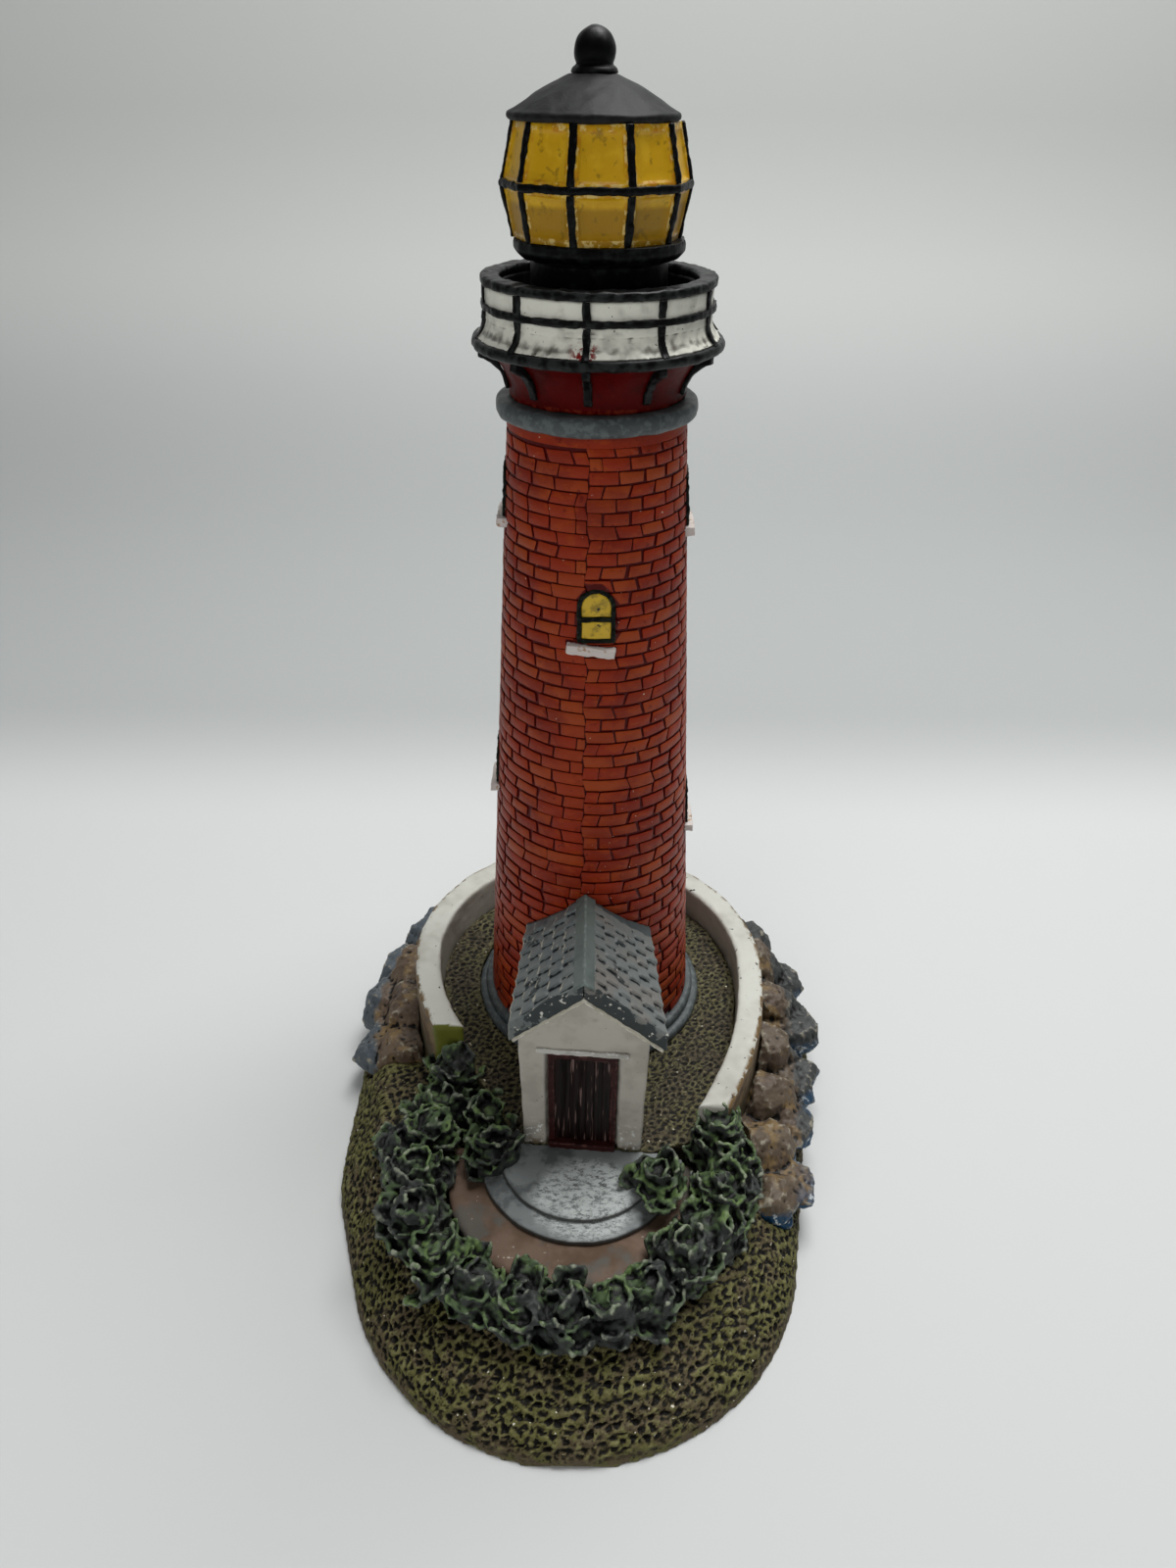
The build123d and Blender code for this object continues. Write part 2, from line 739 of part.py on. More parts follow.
shrub_left = shrub(-SHRUB_LEFT_OUT, SHRUB_LEFT_FORE, SHRUB_LEFT_TURN)
save(shrub_left, "shrub_left")
shrub_right = shrub(SHRUB_RIGHT_OUT, SHRUB_RIGHT_FORE, SHRUB_RIGHT_TURN)
save(shrub_right, "shrub_right")


# Cottage
with BuildPart() as cottage_walls:
    half_foot = COTTAGE_FOOT_W / 2
    half_eave = COTTAGE_EAVE_W / 2
    roof_under = RIDGE_H - ROOF_T
    add(
        narrowing_prism(
            (
                (-half_foot, 0),
                (half_foot, 0),
                (half_eave, roof_under - RIGHT_SLOPE * half_eave),
                (0, roof_under),
                (-half_eave, roof_under - LEFT_SLOPE * half_eave),
            ),
            0,
            COTTAGE_DEPTH,
        )
    )
    add(TOWER_CUTTER, mode=Mode.SUBTRACT)
    with BuildSketch(COTTAGE_FRONT.offset(-DOOR_DEPTH)):
        with Locations((DOOR_X, DOOR_H / 2)):
            Rectangle(DOOR_W, DOOR_H)
    extrude(amount=DOOR_DEPTH, taper=-DOOR_BEVEL, mode=Mode.SUBTRACT)
save(cottage_walls, "cottage_walls")

for side, name, half, slope, run in (
    (-1, "left", ROOF_LEFT_W, LEFT_SLOPE, LEFT_EAVE_RUN),
    (1, "right", ROOF_RIGHT_W, RIGHT_SLOPE, RIGHT_EAVE_RUN),
):
    keep = Keep.BOTTOM if side < 0 else Keep.TOP
    past = -side * OVERRUN
    with BuildPart() as roof_slope:
        add(
            gable_prism(
                (
                    (past, RIDGE_H + slope * OVERRUN),
                    (side * half, ROOF_EAVE_H),
                    (side * half, ROOF_EAVE_H - ROOF_T),
                    (past, RIDGE_H + slope * OVERRUN - ROOF_T),
                ),
                ROOF_OVERHANG,
                COTTAGE_DEPTH,
                run,
            )
        )
        split(bisect_by=RIDGE_PLANE, keep=keep)
        add(TOWER_CUTTER, mode=Mode.SUBTRACT)
    save(roof_slope, f"cottage_roof_{name}")

    with BuildPart() as bargeboard:
        barge_end = half - BARGE_IN
        barge_end_h = roof_under - slope * barge_end
        add(
            gable_prism(
                (
                    (past, roof_under + slope * OVERRUN),
                    (side * barge_end, barge_end_h),
                    (side * barge_end, barge_end_h - BARGE_T),
                    (past, roof_under + slope * OVERRUN - BARGE_T),
                ),
                BARGE_OUT,
                0,
                run,
            )
        )
        split(bisect_by=RIDGE_PLANE, keep=keep)
    save(bargeboard, f"cottage_bargeboard_{name}")

with BuildPart() as ridge_cap:
    left_foot = RIDGE_H - LEFT_SLOPE * RIDGE_CAP_HALF_W
    right_foot = RIDGE_H - RIGHT_SLOPE * RIDGE_CAP_HALF_W
    add(
        gable_prism(
            (
                (0, RIDGE_H),
                (RIDGE_CAP_HALF_W, right_foot),
                (RIDGE_CAP_HALF_W, right_foot + RIDGE_CAP_T),
                (0, RIDGE_H + RIDGE_CAP_T),
                (-RIDGE_CAP_HALF_W, left_foot + RIDGE_CAP_T),
                (-RIDGE_CAP_HALF_W, left_foot),
            ),
            ROOF_OVERHANG,
            COTTAGE_DEPTH,
            RIDGE_RUN,
        )
    )
    add(TOWER_CUTTER, mode=Mode.SUBTRACT)
save(ridge_cap, "cottage_ridge_cap")

# Door, set back in a bevelled opening
DOOR_FLOOR = COTTAGE_FRONT.offset(-DOOR_DEPTH)
with BuildPart() as door_frame:
    with BuildSketch(DOOR_FLOOR):
        with Locations((DOOR_X, (DOOR_H + DOOR_SILL_H) / 2)):
            Rectangle(DOOR_W, DOOR_H - DOOR_SILL_H)
        with Locations((DOOR_X, (DOOR_H + DOOR_SILL_H - DOOR_FRAME_W) / 2)):
            Rectangle(
                DOOR_W - 2 * DOOR_FRAME_W,
                DOOR_H - DOOR_SILL_H - DOOR_FRAME_W,
                mode=Mode.SUBTRACT,
            )
    extrude(amount=DOOR_FRAME_T)
save(door_frame, "door_frame")

with BuildPart() as door_leaf:
    leaf_w = DOOR_W - 2 * DOOR_FRAME_W
    leaf_h = DOOR_H - DOOR_SILL_H - DOOR_FRAME_W
    with BuildSketch(DOOR_FLOOR):
        with Locations((DOOR_X, DOOR_SILL_H + leaf_h / 2)):
            Rectangle(leaf_w, leaf_h)
    extrude(amount=DOOR_LEAF_T)
    with BuildSketch(DOOR_FLOOR.offset(DOOR_LEAF_T)):
        with Locations((DOOR_X, DOOR_SILL_H + leaf_h / 2)):
            with GridLocations(leaf_w / PLANK_COUNT, 0, PLANK_COUNT - 1, 1):
                Rectangle(PLANK_GROOVE_W, leaf_h)
    extrude(amount=-PLANK_GROOVE_DEPTH, mode=Mode.SUBTRACT)
save(door_leaf, "door_leaf")

with BuildPart() as door_sill:
    with BuildSketch(DOOR_FLOOR):
        with Locations((DOOR_X, DOOR_SILL_H / 2)):
            Rectangle(DOOR_W, DOOR_SILL_H)
    extrude(amount=DOOR_DEPTH + DOOR_SILL_OUT)
save(door_sill, "door_sill")

with BuildPart() as door_lintel:
    bevel_out = DOOR_DEPTH * tan(radians(DOOR_BEVEL))
    with BuildSketch(COTTAGE_FRONT):
        with Locations((DOOR_X, DOOR_H + bevel_out + LINTEL_UP + LINTEL_H / 2)):
            Rectangle(DOOR_W + 2 * (bevel_out + LINTEL_REACH), LINTEL_H)
    extrude(amount=LINTEL_T)
save(door_lintel, "door_lintel")


# Tower
def turned(points):
    """A solid turned about the tower's axis from an outline of radii and heights."""
    with BuildPart() as turning:
        with BuildSketch(Plane.XZ):
            with BuildLine():
                Polyline(*points, close=True)
            make_face()
        revolve(axis=Axis.Z)
    return turning.part


def plinth_ring(radius, foot, thickness):
    """A round plinth course with a soft upper edge."""
    with BuildPart() as ring:
        with BuildSketch(Plane.XY.offset(foot)):
            Circle(radius)
        extrude(amount=thickness)
        fillet(ring.edges().group_by(Axis.Z)[-1], radius=PLINTH_ROUND)
    return ring


plinth_lower = plinth_ring(PLINTH_LOWER_R, PLINTH_Z, PLINTH_LOWER_T)
save(plinth_lower, "plinth_lower")
plinth_upper = plinth_ring(PLINTH_UPPER_R, PLINTH_UPPER_Z, PLINTH_UPPER_T)
save(plinth_upper, "plinth_upper")

TAPER = degrees(atan((SHAFT_FOOT_R - SHAFT_TOP_R) / SHAFT_H))


def window_plane(bearing, up):
    """Plane of a window's foot on the shaft: x along the wall, y up it, z outwards."""
    angle = radians(bearing)
    lean = radians(TAPER)
    radius = shaft_radius(up)
    return Plane(
        origin=(radius * cos(angle), radius * sin(angle), SHAFT_Z + up),
        x_dir=(-sin(angle), cos(angle), 0),
        z_dir=(cos(lean) * cos(angle), cos(lean) * sin(angle), sin(lean)),
    )


WINDOWS = (
    ("front", window_plane(FRONT_WINDOW_BEARING, FRONT_WINDOW_UP)),
    ("left_upper", window_plane(180, LEFT_UPPER_WINDOW_UP)),
    ("left_lower", window_plane(180, LEFT_LOWER_WINDOW_UP)),
    ("right_upper", window_plane(0, RIGHT_UPPER_WINDOW_UP)),
    ("right_lower", window_plane(0, RIGHT_LOWER_WINDOW_UP)),
)


def arched_outline(width, height, inset):
    """An opening with a round head, drawn in all round by this much."""
    half = width / 2 - inset
    spring = height - width / 2
    with BuildSketch() as outline:
        with BuildLine():
            Polyline((-half, spring), (-half, inset), (half, inset), (half, spring))
            CenterArc((0, spring), half, 0, 180)
        make_face()
    return outline.sketch


def sill_outline(name):
    """The sill seen from outside; the one in front is askew."""
    askew = name == "front"
    x, down, turn = (FRONT_SILL_X, FRONT_SILL_DOWN, FRONT_SILL_TURN) if askew else (0, 0, 0)
    with BuildSketch() as outline:
        with Locations((x, -down - WINDOW_SILL_H / 2)):
            Rectangle(WINDOW_SILL_W, WINDOW_SILL_H, rotation=turn)
    return outline.sketch


def pane_plan(gap):
    """The two panes of a window: the opening less its frame and its cross bar."""
    with BuildSketch() as panes:
        add(arched_outline(WINDOW_W, WINDOW_H, WINDOW_FRAME_W + gap))
        with Locations((0, WINDOW_BAR_UP)):
            Rectangle(WINDOW_W, WINDOW_BAR_H + 2 * gap, mode=Mode.SUBTRACT)
    return panes.sketch


with BuildPart() as tower_shaft:
    with BuildSketch(Plane.XZ):
        with BuildLine():
            Polyline(
                (0, SHAFT_Z),
                (SHAFT_FOOT_R, SHAFT_Z),
                (SHAFT_TOP_R, COLLAR_Z),
                (0, COLLAR_Z),
                close=True,
            )
        make_face()
    revolve(axis=Axis.Z)
    for name, plane in WINDOWS:
        with BuildSketch(plane.offset(-WINDOW_SUNK)):
            add(arched_outline(WINDOW_W, WINDOW_H, 0))
        extrude(amount=WINDOW_SUNK + OVERRUN, mode=Mode.SUBTRACT)
        with BuildSketch(plane.offset(-WINDOW_SILL_SUNK)):
            add(sill_outline(name))
        extrude(amount=WINDOW_SILL_SUNK + OVERRUN, mode=Mode.SUBTRACT)
save(tower_shaft, "tower_shaft")

for name, plane in WINDOWS:
    with BuildPart() as window_frame:
        with BuildSketch(plane.offset(-WINDOW_SUNK)):
            add(arched_outline(WINDOW_W, WINDOW_H, 0))
            add(pane_plan(0), mode=Mode.SUBTRACT)
        extrude(amount=WINDOW_SUNK + WINDOW_PROUD)
    save(window_frame, f"window_{name}_frame")

    with BuildPart() as window_panes:
        with BuildSketch(plane.offset(-WINDOW_SUNK)):
            add(pane_plan(0))
        extrude(amount=WINDOW_SUNK + WINDOW_PROUD - PANE_BACK)
    save(window_panes, f"window_{name}_panes")

    with BuildPart() as window_sill:
        with BuildSketch(plane.offset(-WINDOW_SILL_SUNK)):
            add(sill_outline(name))
        extrude(amount=WINDOW_SILL_SUNK + WINDOW_SILL_OUT)
    save(window_sill, f"window_{name}_sill")

with BuildPart() as tower_collar:
    with BuildSketch(Plane.XY.offset(COLLAR_Z)):
        Circle(COLLAR_R)
    extrude(amount=COLLAR_T)
    fillet(tower_collar.edges(), radius=COLLAR_ROUND)
save(tower_collar, "tower_collar")


with BuildPart() as corbel_drum:
    flare = CORBEL_TOP_R - CORBEL_FOOT_R
    flare_z = CORBEL_Z + CORBEL_BAND_H
    with BuildSketch(Plane.XZ):
        with BuildLine():
            ThreePointArc(
                (CORBEL_FOOT_R, flare_z),
                (
                    CORBEL_FOOT_R + flare * CORBEL_BELLY_OUT_SHARE,
                    flare_z + (CORBEL_H - CORBEL_BAND_H) * CORBEL_BELLY_UP_SHARE,
                ),
                (CORBEL_TOP_R, DECK_Z),
            )
            Polyline(
                (CORBEL_TOP_R, DECK_Z),
                (0, DECK_Z),
                (0, CORBEL_Z),
                (CORBEL_FOOT_R, CORBEL_Z),
                (CORBEL_FOOT_R, flare_z),
            )
        make_face()
    revolve(axis=Axis.Z)
save(corbel_drum, "corbel_drum")

with BuildPart() as gallery_brackets:
    foot_r = CORBEL_FOOT_R + BRACKET_FOOT_OUT
    foot_z = DECK_Z - BRACKET_DROP
    inner_r = CORBEL_FOOT_R / 2
    with BuildSketch(Plane.XZ):
        with BuildLine():
            ThreePointArc(
                (foot_r, foot_z),
                (
                    (CORBEL_FOOT_R + BRACKET_HEAD_R) / 2,
                    foot_z + (BRACKET_DROP - BRACKET_HEAD_T) * BRACKET_BELLY_UP_SHARE,
                ),
                (BRACKET_HEAD_R, DECK_Z - BRACKET_HEAD_T),
            )
            Polyline(
                (BRACKET_HEAD_R, DECK_Z - BRACKET_HEAD_T),
                (BRACKET_HEAD_R, DECK_Z),
                (inner_r, DECK_Z),
                (inner_r, foot_z),
                (foot_r, foot_z),
            )
        make_face()
    revolve(axis=Axis.Z)
    add(corbel_drum.part, mode=Mode.SUBTRACT)
    with BuildSketch(Plane.XY.offset(foot_z)):
        radial_slabs(GALLERY_COUNT, GALLERY_PHASE, inner_r, DECK_R, BRACKET_W)
    extrude(amount=BRACKET_DROP, mode=Mode.INTERSECT)
save(gallery_brackets, "gallery_brackets")

# Gallery
with BuildPart() as gallery_deck:
    with BuildSketch(Plane.XY.offset(DECK_Z)):
        Circle(DECK_R)
    extrude(amount=DECK_T)
    fillet(gallery_deck.edges(), radius=DECK_ROUND)
save(gallery_deck, "gallery_deck")


def parapet_section(inner, out, top):
    """Upright section of the parapet or its trim: a swept foot under a plain wall."""
    foot_top = GALLERY_Z + PARAPET_FOOT_H
    flare = PARAPET_FOOT_R - PARAPET_R
    with BuildSketch(Plane.XZ) as section:
        with BuildLine():
            RadiusArc(
                (PARAPET_FOOT_R + out, GALLERY_Z),
                (PARAPET_R + out, foot_top),
                -(flare**2 + PARAPET_FOOT_H**2) / (2 * flare),
            )
            Polyline(
                (PARAPET_R + out, foot_top),
                (PARAPET_R + out, top),
                (inner, top),
                (inner, GALLERY_Z),
                (PARAPET_FOOT_R + out, GALLERY_Z),
            )
        make_face()
    return section.sketch


PARAPET_INNER_R = PARAPET_R - PARAPET_W
PARAPET_TOP_Z = GALLERY_Z + PARAPET_H - TOP_RAIL_T
RAIL_R = PARAPET_R + SKIN + RAIL_OUT

with BuildPart() as gallery_parapet:
    add(parapet_section(PARAPET_INNER_R, 0, PARAPET_TOP_Z))
    revolve(axis=Axis.Z)
save(gallery_parapet, "gallery_parapet")

with BuildPart() as gallery_top_rail:
    with BuildSketch(Plane.XY.offset(PARAPET_TOP_Z)):
        Circle(RAIL_R)
        Circle(PARAPET_INNER_R, mode=Mode.SUBTRACT)
    extrude(amount=TOP_RAIL_T)
    chamfer(gallery_top_rail.edges().group_by(Axis.Z)[-1], length=TOP_RAIL_BEVEL)
save(gallery_top_rail, "gallery_top_rail")

with BuildPart() as gallery_mid_rail:
    with BuildSketch(Plane.XY.offset(GALLERY_Z + MID_RAIL_UP)):
        Circle(RAIL_R)
        Circle(PARAPET_R + SKIN, mode=Mode.SUBTRACT)
    extrude(amount=MID_RAIL_T)
save(gallery_mid_rail, "gallery_mid_rail")

with BuildPart() as gallery_posts:
    add(parapet_section(PARAPET_INNER_R, SKIN + RAIL_OUT, PARAPET_TOP_Z))
    revolve(axis=Axis.Z)
    with BuildPart(mode=Mode.SUBTRACT):
        add(parapet_section(0, SKIN, PARAPET_TOP_Z))
        revolve(axis=Axis.Z)
    with BuildSketch(Plane.XY.offset(GALLERY_Z)):
        radial_slabs(GALLERY_COUNT, GALLERY_PHASE, PARAPET_INNER_R, DECK_R, POST_W)
    extrude(amount=PARAPET_H, mode=Mode.INTERSECT)
    add(gallery_mid_rail.part, mode=Mode.SUBTRACT)
save(gallery_posts, "gallery_posts")

# Lantern
with BuildPart() as lantern_pedestal:
    with BuildSketch(Plane.XY.offset(GALLERY_Z)):
        Circle(PEDESTAL_R)
    extrude(amount=PEDESTAL_H)
save(lantern_pedestal, "lantern_pedestal")

with BuildPart() as lantern_sill:
    add(
        turned(
            (
                (0, SILL_Z),
                (SILL_R - SILL_BEVEL, SILL_Z),
                (SILL_R, SILL_Z + SILL_BEVEL),
                (SILL_R, GLASS_Z),
                (0, GLASS_Z),
            )
        )
    )
save(lantern_sill, "lantern_sill")


def glazing_tier(foot_r, foot_z, top_r, top_z, out):
    """A tier of the ten-sided lantern, this far outside its glass at the corners."""
    levels = []
    for radius, height in ((foot_r, foot_z), (top_r, top_z)):
        with BuildSketch(Plane.XY.offset(height)) as level:
            RegularPolygon(radius + out, LANTERN_COUNT, rotation=LANTERN_PHASE)
        levels.append(level.sketch)
    with BuildPart() as tier:
        loft(sections=levels, ruled=True)
    return tier.part


def lower_tier(out):
    """The lower tier, which widens up to the waist."""
    return glazing_tier(GLASS_FOOT_R, GLASS_Z, GLASS_WAIST_R, WAIST_Z, out)


def upper_tier(out):
    """The upper tier, which narrows up to the roof."""
    return glazing_tier(GLASS_WAIST_R, WAIST_Z, GLASS_TOP_R, ROOF_Z, out)


with BuildPart() as lantern_glazing_lower:
    add(lower_tier(0))
save(lantern_glazing_lower, "lantern_glazing_lower", GLASS_X)

with BuildPart() as lantern_glazing_upper:
    add(upper_tier(0))
save(lantern_glazing_upper, "lantern_glazing_upper", GLASS_X)

with BuildPart() as lantern_waist_ring:
    add(lower_tier(BAR_OUT + SKIN))
    add(upper_tier(BAR_OUT + SKIN))
    add(lower_tier(0), mode=Mode.SUBTRACT)
    add(upper_tier(0), mode=Mode.SUBTRACT)
    with BuildSketch(Plane.XY.offset(WAIST_Z - WAIST_RING_T / 2)):
        Circle(GLASS_WAIST_R + OVERRUN)
    extrude(amount=WAIST_RING_T, mode=Mode.INTERSECT)
save(lantern_waist_ring, "lantern_waist_ring", GLASS_X)

for tier, foot, rise, name in (
    (lower_tier, GLASS_Z, GLASS_LOWER_H, "lower"),
    (upper_tier, WAIST_Z, GLASS_UPPER_H, "upper"),
):
    with BuildPart() as lantern_bars:
        add(tier(BAR_OUT))
        add(tier(0), mode=Mode.SUBTRACT)
        with BuildSketch(Plane.XY.offset(foot)):
            radial_slabs(LANTERN_COUNT, LANTERN_PHASE, PEDESTAL_R, ROOF_R + OVERRUN, BAR_W)
        extrude(amount=rise, mode=Mode.INTERSECT)
        add(lantern_waist_ring.part, mode=Mode.SUBTRACT)
    save(lantern_bars, f"lantern_bars_{name}", GLASS_X)

with BuildPart() as lantern_roof:
    rim_z = ROOF_Z + ROOF_LIP
    rim_r = ROOF_R - ROOF_LIP / 2
    crown_r = NECK_R + NECK_FLARE
    with BuildSketch(Plane.XZ):
        with BuildLine():
            ThreePointArc((rim_r, ROOF_Z), (ROOF_R, ROOF_Z + ROOF_LIP / 2), (rim_r, rim_z))
            ThreePointArc(
                (rim_r, rim_z),
                ((rim_r + crown_r) / 2, (rim_z + NECK_Z) / 2 + ROOF_BULGE),
                (crown_r, NECK_Z),
            )
            Polyline((crown_r, NECK_Z), (0, NECK_Z), (0, ROOF_Z), (rim_r, ROOF_Z))
        make_face()
    revolve(axis=Axis.Z)
save(lantern_roof, "lantern_roof", ROOF_X)

with BuildPart() as roof_finial:
    neck_top = NECK_Z + NECK_H
    ball_z = neck_top + sqrt(BALL_R**2 - NECK_R**2)
    with BuildSketch(Plane.XZ):
        with BuildLine():
            RadiusArc((NECK_R + NECK_FLARE, NECK_Z), (NECK_R, neck_top), -NECK_H)
            ThreePointArc((NECK_R, neck_top), (BALL_R, ball_z), (0, ball_z + BALL_R))
            Polyline((0, ball_z + BALL_R), (0, NECK_Z), (NECK_R + NECK_FLARE, NECK_Z))
        make_face()
    revolve(axis=Axis.Z)
save(roof_finial, "roof_finial", ROOF_X)
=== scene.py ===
"""Looks of the lighthouse figurine: cast resin, washed dark and dry-brushed by hand.

Every piece is in metres, in the frame of the solids.  The front faces -Y.
"""

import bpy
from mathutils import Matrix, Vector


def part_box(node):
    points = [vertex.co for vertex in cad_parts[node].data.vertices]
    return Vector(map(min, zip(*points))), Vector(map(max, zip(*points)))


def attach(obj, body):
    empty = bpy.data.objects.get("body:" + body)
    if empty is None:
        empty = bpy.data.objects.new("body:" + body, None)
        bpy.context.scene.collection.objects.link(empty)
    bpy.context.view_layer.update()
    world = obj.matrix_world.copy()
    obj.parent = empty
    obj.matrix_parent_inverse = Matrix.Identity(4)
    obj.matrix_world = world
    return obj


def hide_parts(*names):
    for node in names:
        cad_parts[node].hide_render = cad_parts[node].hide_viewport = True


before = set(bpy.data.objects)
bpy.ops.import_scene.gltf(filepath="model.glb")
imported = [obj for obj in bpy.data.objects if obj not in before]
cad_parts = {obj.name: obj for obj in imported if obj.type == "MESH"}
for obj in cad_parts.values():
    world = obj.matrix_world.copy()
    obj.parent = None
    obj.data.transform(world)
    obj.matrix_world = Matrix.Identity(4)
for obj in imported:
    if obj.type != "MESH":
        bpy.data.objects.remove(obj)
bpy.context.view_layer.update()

import math
import random
from contextlib import contextmanager

import bpy
import numpy as np
from mathutils import Matrix, Vector

MM = 0.001
MERGE_REACH = 0.004 * MM
WEIGHT_STEPS = 10
bpy.ops.object.select_all(action="DESELECT")


# Selecting, editing and finishing by hand
def only(piece):
    """Leave this piece alone selected, and active."""
    bpy.ops.object.select_all(action="DESELECT")
    piece.select_set(True)
    bpy.context.view_layer.objects.active = piece


@contextmanager
def editing(piece, shown=None):
    """Edit mode on one piece, with these of its faces selected, or all of them."""
    only(piece)
    mesh = piece.data
    bpy.context.tool_settings.mesh_select_mode = (False, False, True)
    flags = np.ones(len(mesh.polygons), bool) if shown is None else shown
    mesh.vertices.foreach_set("select", np.zeros(len(mesh.vertices), bool))
    mesh.edges.foreach_set("select", np.zeros(len(mesh.edges), bool))
    mesh.polygons.foreach_set("select", flags)
    bpy.ops.object.mode_set(mode="EDIT")
    yield
    bpy.ops.object.mode_set(mode="OBJECT")


def apply(piece, kind, **settings):
    """Add one modifier with these settings and apply it."""
    only(piece)
    modifier = piece.modifiers.new(kind.lower(), kind)
    for name, value in settings.items():
        setattr(modifier, name, value)
    bpy.ops.object.modifier_apply(modifier=modifier.name)


def newest(name):
    """The primitive that was just added, under its own name."""
    piece = bpy.context.object
    piece.name = name
    return piece


def settle(piece):
    """Put a piece's place, turn and size into its mesh."""
    only(piece)
    bpy.ops.object.transform_apply(location=True, rotation=True, scale=True)


def new_object(name, data):
    """An object with this data, in the scene."""
    made = bpy.data.objects.new(name, data)
    bpy.context.scene.collection.objects.link(made)
    return made


def copy_of(node, name=None):
    """A piece that starts from a CAD solid, with its loose corners merged."""
    piece = new_object(name or node + "_cast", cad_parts[node].data.copy())
    piece.data.materials.clear()
    with editing(piece):
        bpy.ops.mesh.remove_doubles(threshold=MERGE_REACH)
    return piece


def join(pieces):
    """One piece from several, under the name of the first."""
    bpy.ops.object.select_all(action="DESELECT")
    for piece in pieces:
        piece.select_set(True)
    bpy.context.view_layer.objects.active = pieces[0]
    bpy.ops.object.join()
    return pieces[0]


def twin(piece, matrix):
    """A copy of a piece with its own mesh, carried by a matrix."""
    other = new_object(piece.name, piece.data.copy())
    other.data.transform(matrix)
    return other


def drop(piece):
    """Take a helper piece out of the scene."""
    bpy.data.objects.remove(piece)


def rows(items, key):
    """Three numbers for each item of a mesh, as rows."""
    flat = np.empty(len(items) * 3)
    items.foreach_get(key, flat)
    return flat.reshape(-1, 3)


def points_of(piece):
    """The places of a mesh's corners."""
    return rows(piece.data.vertices, "co")


def normals_of(piece):
    """The normals of a mesh's corners."""
    return rows(piece.data.vertex_normals, "vector")


def face_middles(piece):
    """The middles and the normals of a mesh's faces."""
    return rows(piece.data.polygons, "center"), rows(piece.data.polygons, "normal")


def from_axis(points):
    """How far places are, across, from the origin, which is on the tower's axis."""
    return np.hypot(points[:, 0], points[:, 1])


def move_points(piece, points):
    """Give a piece's corners new places."""
    piece.data.vertices.foreach_set("co", points.ravel())
    piece.data.update()


def mark(piece, name, values):
    """Store one number for each corner, for the paint to read."""
    attribute = piece.data.attributes.get(name)
    if attribute is None:
        attribute = piece.data.attributes.new(name, "FLOAT", "POINT")
    attribute.data.foreach_set("value", np.asarray(values, np.float32))


def mark_proud(piece, reach):
    """Store how far each corner stands proud of its surroundings, in millimetres."""
    mesh = piece.data
    count = len(mesh.vertices)
    ends = np.empty(len(mesh.edges) * 2, np.int64)
    mesh.edges.foreach_get("vertices", ends)
    first, second = ends.reshape(-1, 2).T
    degree = np.maximum(np.bincount(ends, minlength=count), 1)
    points = points_of(piece)
    soft = points.copy()
    for _ in range(reach):
        spread = np.stack([
            np.bincount(first, soft[second, axis], count)
            + np.bincount(second, soft[first, axis], count)
            for axis in range(3)
        ], axis=1)
        soft = spread / degree[:, None]
    mark(piece, "proud", ((points - soft) * normals_of(piece)).sum(1) / MM)


def relief(kind, size, **settings):
    """A texture for pushing a surface in and out, with grains of this size."""
    texture = bpy.data.textures.new(kind.lower(), kind)
    texture.noise_scale = size
    for name, value in settings.items():
        setattr(texture, name, value)
    return texture


def push(piece, texture, height, middle=0.5, group="", stretch=(1, 1, 1), turn=(0, 0, 0)):
    """Push a surface in and out along its normals, by a stretched texture."""
    bpy.ops.object.empty_add(rotation=turn)
    guide = bpy.context.object
    guide.scale = stretch
    bpy.context.view_layer.update()
    apply(
        piece, "DISPLACE", texture=texture, strength=height, mid_level=middle,
        texture_coords="OBJECT", texture_coords_object=guide, vertex_group=group,
    )
    drop(guide)


def recast(piece, voxel, soften=0):
    """Rebuild a piece as an even skin, as a mould would give, and soften its edges."""
    apply(piece, "REMESH", mode="VOXEL", voxel_size=voxel)
    if soften:
        apply(piece, "SMOOTH", factor=0.5, iterations=soften)


def hand_wobble(piece, size, height):
    """The uneven line of a modelled and hand-painted edge."""
    push(piece, relief("CLOUDS", size, noise_depth=1), height)


def weigh(piece, name, weights):
    """A vertex group with one weight for each corner."""
    group = piece.vertex_groups.new(name=name)
    steps = np.round(np.clip(weights, 0, 1) * WEIGHT_STEPS)
    for step in range(WEIGHT_STEPS + 1):
        group.add(np.nonzero(steps == step)[0].tolist(), step / WEIGHT_STEPS, "REPLACE")


def place_piece(piece, finish, slot, node, sharp=None):
    """Give a finished piece its paint and its body, and hide the node that it stands for."""
    piece.data.materials.clear()
    piece.data.materials.append(finish)
    only(piece)
    if sharp is None:
        bpy.ops.object.shade_smooth()
    else:
        bpy.ops.object.shade_smooth_by_angle(angle=math.radians(sharp))
    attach(piece, "root")
    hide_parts(node)


